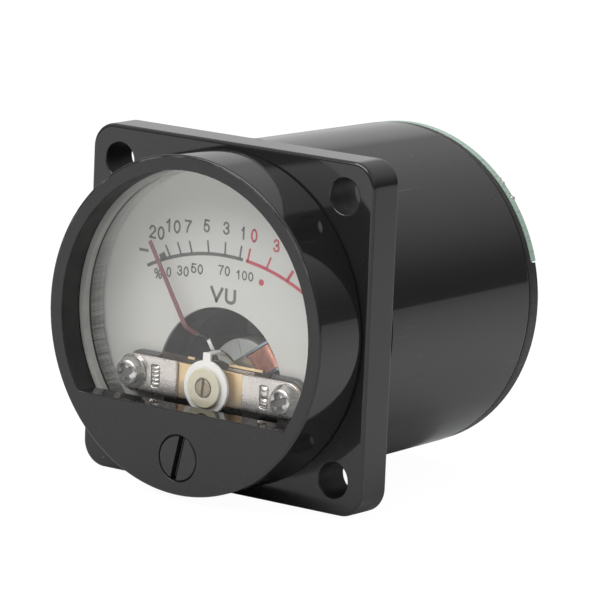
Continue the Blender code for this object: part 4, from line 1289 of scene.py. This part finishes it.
def regulator_outline():
    """Ring with a tab above and a forked arm below."""
    ring, tab_half, arm_half, fork_half, slot_half = RING_RADIUS, 0.6, 0.9, 1.5, 0.6
    tab_top, fork_top, fork_end = PIVOT_Z + 4.5, ADJUSTER_Z + 2.6, ADJUSTER_Z - 0.3
    slot_end = ADJUSTER_Z + 1.9
    tab_turn, arm_turn = acos(tab_half / ring), acos(arm_half / ring)
    points = [(tab_half - 0.12, tab_top), (-tab_half + 0.12, tab_top), (-tab_half, tab_top - 0.12)]
    points += arc(0, PIVOT_Z, ring, pi - tab_turn, pi + arm_turn, 48)
    points += [(-arm_half, fork_top), (-fork_half, fork_top - 0.5), (-fork_half, fork_end)]
    points += [(-slot_half, fork_end), (-slot_half, slot_end - slot_half)]
    points += arc(0, slot_end - slot_half, slot_half, pi, 0.0, 10)[1:-1]
    points += [(slot_half, slot_end - slot_half), (slot_half, fork_end), (fork_half, fork_end)]
    points += [(fork_half, fork_top - 0.5), (arm_half, fork_top)]
    points += arc(0, PIVOT_Z, ring, -arm_turn, tab_turn, 48)
    points.append((tab_half, tab_top - 0.12))
    return points


def make_regulator():
    low, high = span("regulator_arm")
    front, rear = low.y, low.y + 0.45
    loops = [regulator_outline(), circle(0, PIVOT_Z, 1.3)]
    arm = plate("regulator_ring", loops, front, rear, 0.1, steps=4)
    start = front + 0.1
    shelf = block("shelf", (1.0, high.y - start, 0.3), (0.0, (start + high.y) / 2, PIVOT_Z + 4.3), 0.05)
    carve(arm, shelf, operation="UNION")
    dress(arm, "white", "white_plastic", "regulator_arm", body="regulator")


def make_spring_anchor():
    """Where the front spring is soldered to the ring's tab: a lump, a pin and a bent end of strip."""
    front, rear = y_span("hairspring_front")
    y, z = (front + rear) / 2, PIVOT_Z + 4.25
    lumps = []
    for k in range(3):
        place = (0.12 + 0.34 * k, y - 0.1 * k, z - 0.02 * k)
        lumps.append(lump("blob", place, 0.34 - 0.06 * k, 5.0 + k, (1.0, 1.3, 0.8)))
    blob = carve(lumps[0], *lumps[1:], operation="UNION", sharp=80.0)
    blob.name = "spring_solder"
    dress(blob, "tin", "tinned", "hairspring_front", body="regulator")
    bends = [(-0.3, y, z), (0.5, y - 0.3, z + 0.25), (1.2, y - 0.2, z)]
    bends += [(1.8, y, z - 0.5), (2.3, y, z - 1.1)]
    dress(wire("spring_end", bends, 0.11, 8), "brown", "brass", "hairspring_front", body="regulator")


def make_spring(name, node, body):
    """A flat spiral of thin strip that ends at the top."""
    front, rear = y_span(node)
    start, end, turns, thickness = 0.75, 4.0, 3.5, 0.12
    count = int(turns * 56)
    path = []
    for i in range(count + 1):
        share = i / count
        radius = start + (end - start) * share
        turn = pi / 2 - 2 * pi * turns * (1 - share)
        path.append((radius * cos(turn), PIVOT_Z + radius * sin(turn)))
    spring = plate(name, [ribbon(path, thickness)], front, rear, 0.02, steps=1)
    dress(spring, "spring", "brass", node, body=body)


def make_adjuster():
    """Slotted button; its slot leans clockwise and has slightly rounded lips."""
    front, rear = y_span("zero_adjuster")
    radius, shaft, head_rear = 2.9, 1.7, POCKET_FLOOR - 0.6
    shaft_rear, pin_z, lean = LENS_FRONT + 1.2, ADJUSTER_Z + 1.2, radians(12.7)
    profile = [(0, front), *front_rim(radius, front, 0.16, 4)]
    profile += [(radius, head_rear), (shaft, head_rear), (shaft, shaft_rear), (0, shaft_rear)]
    knob = turned("adjuster_button", profile, MEDIUM, z=ADJUSTER_Z)
    pin_start, pin_radius = shaft_rear - 0.4, 0.45
    section = [(0, pin_start), (pin_radius, pin_start), (pin_radius, rear), (0, rear)]
    pin = turned("pin", section, 24, z=pin_z)
    carve(knob, pin, operation="UNION")
    slot = block("slot", (0.95, 2.0, 9.0), (0, front, ADJUSTER_Z), 0.1, Matrix.Rotation(lean, 4, "Y"))
    dress(carve(knob, slot), "adjuster", "case_black", "zero_adjuster", body="adjuster")


# ---- back

def back_holes():
    holes = [circle(side * STUD_X, STUD_Z, 1.6, 40) for side in (-1, 1)]
    return holes + [circle(side * LEAD_X, LEAD_Z, 0.6, 24) for side in (-1, 1)]


def make_cover():
    front, rear = y_span("back_cover")
    face, base = front + 2.0, front + 2.9
    cover = plate("rear_cover", [circle(0, 0, COVER_RADIUS, ROUND), *back_holes()], face, base, 0.12)
    profile = [(18.2, face + 0.3), (19.6, face + 0.3), (19.6, front + 0.2), (19.4, front)]
    profile += [(18.4, front), (18.2, front + 0.2)]
    start, end = pi - ARCH_START, 2 * pi + ARCH_START
    ring = arc(0, 0, COVER_RADIUS, start, end, 120) + arc(0, 0, RIM_INNER, end, start, 120)
    rim = plate("rim", [ring], base - 0.4, rear, 0.12)
    carve(cover, turned("spigot", profile, ROUND), rim, operation="UNION")
    dress(cover, "cover", "case_black", "back_cover")


def pad(x, z, outer, inner):
    """A tinned copper ring on the board's rear face."""
    ring = [circle(x, z, outer, 40), circle(x, z, inner, 40)]
    return plate("pad", ring, BOARD_REAR - 0.005, BOARD_REAR + 0.045, 0.015, steps=1)


def track(points, width=0.9):
    path = fillet(points, 1.2, 6)
    outline = ribbon(path, width)
    return plate("track", [outline], BOARD_REAR - 0.005, BOARD_REAR + 0.03, 0.01, steps=1)


def lump(name, centre, size, seed, squash=(1.0, 1.0, 1.0)):
    """A frozen drop of solder."""
    shape = bmesh.new()
    bmesh.ops.create_icosphere(shape, subdivisions=4, radius=1.0)
    for vert in shape.verts:
        place = vert.co.normalized()
        bulge = 1 + 0.22 * noise.noise(place * 1.7 + Vector((seed, 0.0, 0.0)))
        vert.co = Vector(centre) * MM + Vector([c * s for c, s in zip(place, squash)]) * size * bulge * MM
    return new_object(name, shape, 80.0, weighted=False)


def make_board():
    start = ARCH_START + radians(0.4)
    outline = arc(0, 0, COVER_RADIUS, start, pi - start, 90)
    outline += arc(0, 0, BOARD_RADIUS, pi - start, 2 * pi + start, 110)
    board = plate("rear_board", [outline, *back_holes()], BOARD_FRONT, BOARD_REAR, 0.06, steps=2)
    dress(board, "laminate", "board_laminate", "terminal_board")
    refinish(board, "mask", lambda face: face.normal.y > 0.9)
    make_tracks()
    make_rim_solder()
    make_board_parts()


def make_tracks():
    pieces = []
    for side in (-1, 1):
        for path in (((STUD_X - 3.0, STUD_Z - 2.6), (7.6, 1.0), (3.6, -1.9)),
                     ((1.9, -4.6), (3.2, -7.5), (5.0, -6.6)),
                     ((8.2, -6.6), (13.0, -7.5), (13.0, 1.5)),
                     ((LEAD_X + 0.8, LEAD_Z + 0.6), (7.0, 14.0), (12.5, 13.2))):
            pieces.append(track(mirrored(path, side)))
    covered = merged("board_tracks", pieces)
    dress(covered, "mask", "board_laminate")
    pads = [pad(side * LEAD_X, LEAD_Z, 1.5, 0.62) for side in (-1, 1)]
    pads += [pad(side * 13.4, 13.0, 1.1, 0.35) for side in (-1, 1)]
    pads += [pad(side * 13.0, 2.2, 0.9, 0.3) for side in (-1, 1)]
    dress(merged("board_pads", pads), "tin", "tinned")


def make_rim_solder():
    """Blobs of solder that bridge onto the board's rim, up on the right."""
    blobs = []
    sizes = (0.26, 0.34, 0.4, 0.3, 0.36, 0.4, 0.32, 0.26)
    for k, size in enumerate(sizes):
        turn = radians(49.5 - 2.1 * k)
        reach = COVER_RADIUS - 0.32 + 0.06 * (k % 3)
        centre = (reach * cos(turn), BOARD_REAR - 0.3 + 0.12 * (k % 2), reach * sin(turn))
        blobs.append(lump("blob", centre, size, 3.1 * k, (1.0, 1.1, 1.0)))
    joined = carve(blobs[0], *blobs[1:], operation="UNION", sharp=80.0)
    joined.name = "rim_solder"
    dress(joined, "tin", "tinned")


def gull_leg(x, z, side, y0):
    """A flat bent leg of a surface-mount case, at z with its foot outwards."""
    path = fillet([(1.7, y0 + 1.1), (2.35, y0 + 1.1), (2.55, y0 + 0.12), (3.1, y0 + 0.12)], 0.25, 4)
    outline = ribbon(path, 0.18)
    shape = bmesh.new()
    loops = []
    for w in (-0.32, 0.32):
        loops.append(add_loop(shape, [Vector((x + side * px, py, z + w)) * MM for px, py in outline]))
    bridge(shape, *loops)
    for loop in loops:
        half = len(loop) // 2
        for i in range(half - 1):
            shape.faces.new((loop[i], loop[i + 1], loop[-2 - i], loop[-1 - i]))
    return new_object("leg", shape, 30.0)


def make_board_parts():
    low, high = span("bridge_rectifier")
    centre = (low + high) / 2
    size = high - low
    size_inside = (size.x - 1.0, size.y - 0.25, size.z)
    body = block("rectifier_body", size_inside, (centre.x, centre.y + 0.1, centre.z), 0.18)
    dress(body, "chip", "case_black", "bridge_rectifier")
    legs = []
    for side in (-1, 1):
        for dz in (-1.15, 1.15):
            legs.append(gull_leg(centre.x - side * 0.7, centre.z + dz, side, low.y))
    dress(merged("rectifier_legs", legs), "tin", "tinned")
    for node, kind, slot in (("series_resistor", "ceramic", "white_plastic"),
                             ("smoothing_capacitor", "tantalum", "cream_plastic")):
        low, high = span(node)
        centre, size = (low + high) / 2, high - low
        body = block(f"{node}_body", (size.x - 0.9, size.y - 0.06, size.z - 0.06), centre, 0.08)
        dress(body, kind, slot, node)
        ends = []
        for side in (-1, 1):
            place = (centre.x + side * (size.x / 2 - 0.25), centre.y, centre.z)
            ends.append(block("end_cap", (0.5, size.y, size.z), place, 0.07))
        dress(merged(f"{node}_caps", ends), "tin", "tinned", node)


def threaded_rod(name, x, z, front, rear, radius, pitch, depth, smooth_to):
    """A stud with a real helical thread behind smooth_to and a chamfered end."""
    around, per_pitch = 40, 8
    rows = int((rear - smooth_to) / pitch * per_pitch)
    put = facing(x, z)
    shape = bmesh.new()
    loops = []
    for y in (front, smooth_to - 0.1):
        loops.append(add_loop(shape, [put(px, pz, y) for px, pz in circle(0, 0, radius, around)]))
    for i in range(rows + 1):
        y = smooth_to + (rear - smooth_to) * i / rows
        fade = min(1.0, (rear - y) / 0.6)
        ring = []
        for k in range(around):
            turn = 2 * pi * k / around
            phase = (y - smooth_to) / pitch - k / around
            tooth = abs((phase - floor(phase)) * 2 - 1)
            r = radius - depth * tooth - 0.3 * (1 - fade)
            ring.append(put(r * cos(turn), r * sin(turn), y))
        loops.append(add_loop(shape, ring))
    for a, b in zip(loops, loops[1:]):
        bridge(shape, a, b)
    for loop in (loops[0], loops[-1]):
        shape.faces.new(loop)
    return new_object(name, shape, 70.0, weighted=False)


def make_terminals():
    for label, side in SIDES:
        x = side * STUD_X
        front, rear = y_span(f"terminal_stud_{label}")
        stud = threaded_rod(f"stud_thread_{label}", x, STUD_Z, front, rear, 1.5, 0.5, 0.2, BOARD_FRONT)
        dress(stud, "brass", "brass", f"terminal_stud_{label}")
        front, rear = y_span(f"terminal_washer_{label}")
        ring = [circle(x, STUD_Z, 3.2, MEDIUM), circle(x, STUD_Z, 1.6, SMALL)]
        washer = plate(f"washer_{label}", ring, front, rear, 0.1)
        dress(washer, "brass", "brass", f"terminal_washer_{label}")
        front, rear = y_span(f"terminal_nut_{label}")
        hexagon = fillet_closed(circle(x, STUD_Z, 3.17, 6), 0.25)
        nut = plate(f"nut_{label}", [hexagon, circle(x, STUD_Z, 1.56, SMALL)], front, rear, 0.22)
        dress(nut, "brass", "brass", f"terminal_nut_{label}")
        make_lead_end(label, side)


def fillet_closed(points, radius, steps=5):
    """A closed outline with every corner rounded."""
    ring = points[-1:] + points + points[:1]
    return fillet(ring, radius, steps)[1:-1]


def make_lead_end(label, side):
    """A lamp wire that comes through the board in a cone of solder."""
    front, rear = y_span(f"lamp_lead_{label}")
    profile = [(0, front), (0.35, front), (0.35, BOARD_REAR + 0.12)]
    shares = [i / 10 for i in range(11)]
    cone = [(0.45 + 0.75 * (1 - t) ** 2.2, BOARD_REAR + 0.05 + 0.95 * t) for t in shares]
    profile += [(1.2, BOARD_REAR + 0.02), *cone, (0.38, rear - 0.05), (0.2, rear), (0, rear)]
    lead = turned(f"lead_joint_{label}", profile, 36, side * LEAD_X, LEAD_Z, 70.0)
    dress(lead, "tin", "tinned", f"lamp_lead_{label}")


def make_coil_leads():
    for label, side in SIDES:
        start = Vector((side * 6.0, 15.7, -5.0))
        end = Vector((side * (STUD_X - 2.05), 24.0, STUD_Z))
        points = []
        for i in range(9):
            share = i / 8
            place = start.lerp(end, share)
            points.append((place.x, place.y + 2.0 * sin(pi * share), place.z))
        lead = wire(f"lead_wire_{label}", points, 0.38)
        kind = "wire_red" if side > 0 else "wire_black"
        dress(lead, kind, "wire_red" if side > 0 else "case_black", f"coil_lead_{label}")


# ---- CAD pieces that keep their shape

KEPT = {
    "adjuster_clip": "white", "balance_arm_side": "aluminium", "balance_arm_tail": "aluminium",
    "balance_weight_side": "tin", "balance_weight_tail": "tin", "coil_former": "former",
    "coil_plate_front": "aluminium", "coil_plate_rear": "aluminium", "core_arm_lower": "shade",
    "core_arm_upper": "shade", "frame_pillar_left": "brass", "frame_pillar_right": "brass",
    "jewel_lock_nut": "brass", "jewel_screw_rear": "brass", "lamp_board": "laminate",
    "lamp_left": "lamp", "lamp_right": "lamp", "movement_carrier": "shade", "pivot_front": "iron",
    "pivot_rear": "iron", "rear_frame": "aluminium", "yoke_ring": "shade",
}


# ---- studio

CAMERA_PLACE = (395.8, -517.3, 124.07)
CAMERA_YAW = 0.6436
CAMERA_DROP = 0.1854
CAMERA_ROLL = 0.0418
CAMERA_LENS = 312.19
KEY_PLACE = (-0.10, -0.33, 0.40)    # softbox, in metres
KEY_SIZE = (0.40, 0.32)
KEY_POWER = 2.2
FLOOR_SHARE = 0.9                   # how much of the floor's glow the eye sees
FLOOR_GLOW = 1.08
LOW_SKY, HIGH_SKY = 0.12, 0.72
BACKDROP = (-0.62, 0.78, 0.12)      # direction of the white backdrop behind the object
BACKDROP_LIGHT = 0.78


def make_camera():
    data = bpy.data.cameras.new("view")
    data.lens = CAMERA_LENS
    data.sensor_width = 36.0
    data.clip_start, data.clip_end = 0.01, 20.0
    camera = add_object("view", data)
    turn = Matrix.Rotation(CAMERA_YAW, 4, "Z") @ Matrix.Rotation(pi / 2 - CAMERA_DROP, 4, "X")
    turn = turn @ Matrix.Rotation(CAMERA_ROLL, 4, "Z")
    camera.matrix_world = Matrix.Translation(Vector(CAMERA_PLACE) * MM) @ turn
    bpy.context.scene.camera = camera


def make_floor():
    """A pale table; what the eye sees of it glows a little, so that shadows on it stay faint."""
    shape = bmesh.new()
    bmesh.ops.create_circle(shape, cap_ends=True, radius=4.0, segments=96)
    table = new_object("floor", shape, weighted=False)
    table.location.z = -FLANGE_HALF * MM - 0.0002
    made = Finish("floor_white", ior=1.4)
    cloud = made.noise(3.0, 3.0)
    made.color(made.mix(cloud, (0.84, 0.84, 0.84), (0.86, 0.86, 0.86)))
    made.rough(made.map(cloud, 0.3, 0.7, 0.85, 0.95))
    glow = made.node("ShaderNodeEmission")
    glow.inputs["Strength"].default_value = FLOOR_GLOW
    seen = made.node("ShaderNodeLightPath").outputs["Is Camera Ray"]
    share = made.math("MULTIPLY", seen, FLOOR_SHARE)
    made.surface(made.blend(share, made.shader.outputs[0], glow.outputs[0]))
    table.data.materials.append(made.material)


def make_softbox():
    data = bpy.data.lights.new("softbox", "AREA")
    data.shape = "RECTANGLE"
    data.size, data.size_y = KEY_SIZE
    data.energy = KEY_POWER
    lamp = add_object("softbox", data)
    place = Vector(KEY_PLACE)
    lamp.matrix_world = Matrix.Translation(place) @ (-place).to_track_quat("-Z", "Y").to_matrix().to_4x4()


def make_world():
    """A room that is dark low down and bright overhead, with a white backdrop behind the object."""
    world = bpy.data.worlds.new("studio")
    bpy.context.scene.world = world
    world.use_nodes = True
    world.node_tree.nodes.clear()
    sky = Nodes(world.node_tree)
    coords = sky.node("ShaderNodeTexCoord").outputs["Generated"]

    def towards(direction):
        made = sky.node("ShaderNodeVectorMath", operation="DOT_PRODUCT")
        sky.link(coords, made.inputs[0])
        made.inputs[1].default_value = Vector(direction).normalized()
        return made.outputs["Value"]

    overhead = sky.map(towards((0, 0, 1)), 0.08, 0.62, LOW_SKY, HIGH_SKY, smooth=True)
    backdrop = sky.map(towards(BACKDROP), 0.86, 0.97, 0.0, BACKDROP_LIGHT, smooth=True)
    background = sky.node("ShaderNodeBackground")
    sky.link(sky.math("MAXIMUM", overhead, backdrop), background.inputs["Color"])
    background.inputs["Strength"].default_value = 1.0
    plain = sky.node("ShaderNodeBackground")
    plain.inputs["Color"].default_value = (1.0, 1.0, 1.0, 1.0)
    seen = sky.node("ShaderNodeLightPath").outputs["Is Camera Ray"]
    room = sky.blend(seen, background.outputs[0], plain.outputs[0])
    sky.link(room, sky.node("ShaderNodeOutputWorld").inputs["Surface"])


def make_studio():
    make_camera()
    make_floor()
    make_softbox()
    make_world()
    bpy.context.scene.view_settings.view_transform = "Standard"


# ---- build

def main():
    make_studio()
    make_case()
    make_bezel()
    make_lens()
    make_dial()
    make_pointer()
    make_winding()
    make_core()
    make_bridge()
    make_hub()
    make_regulator()
    make_spring("regulator_spring", "hairspring_front", "regulator")
    make_spring_anchor()
    make_spring("rear_spring", "hairspring_rear", "housing")
    make_adjuster()
    make_cover()
    make_board()
    make_terminals()
    make_coil_leads()
    for node, kind in KEPT.items():
        repaint(node, kind)


main()
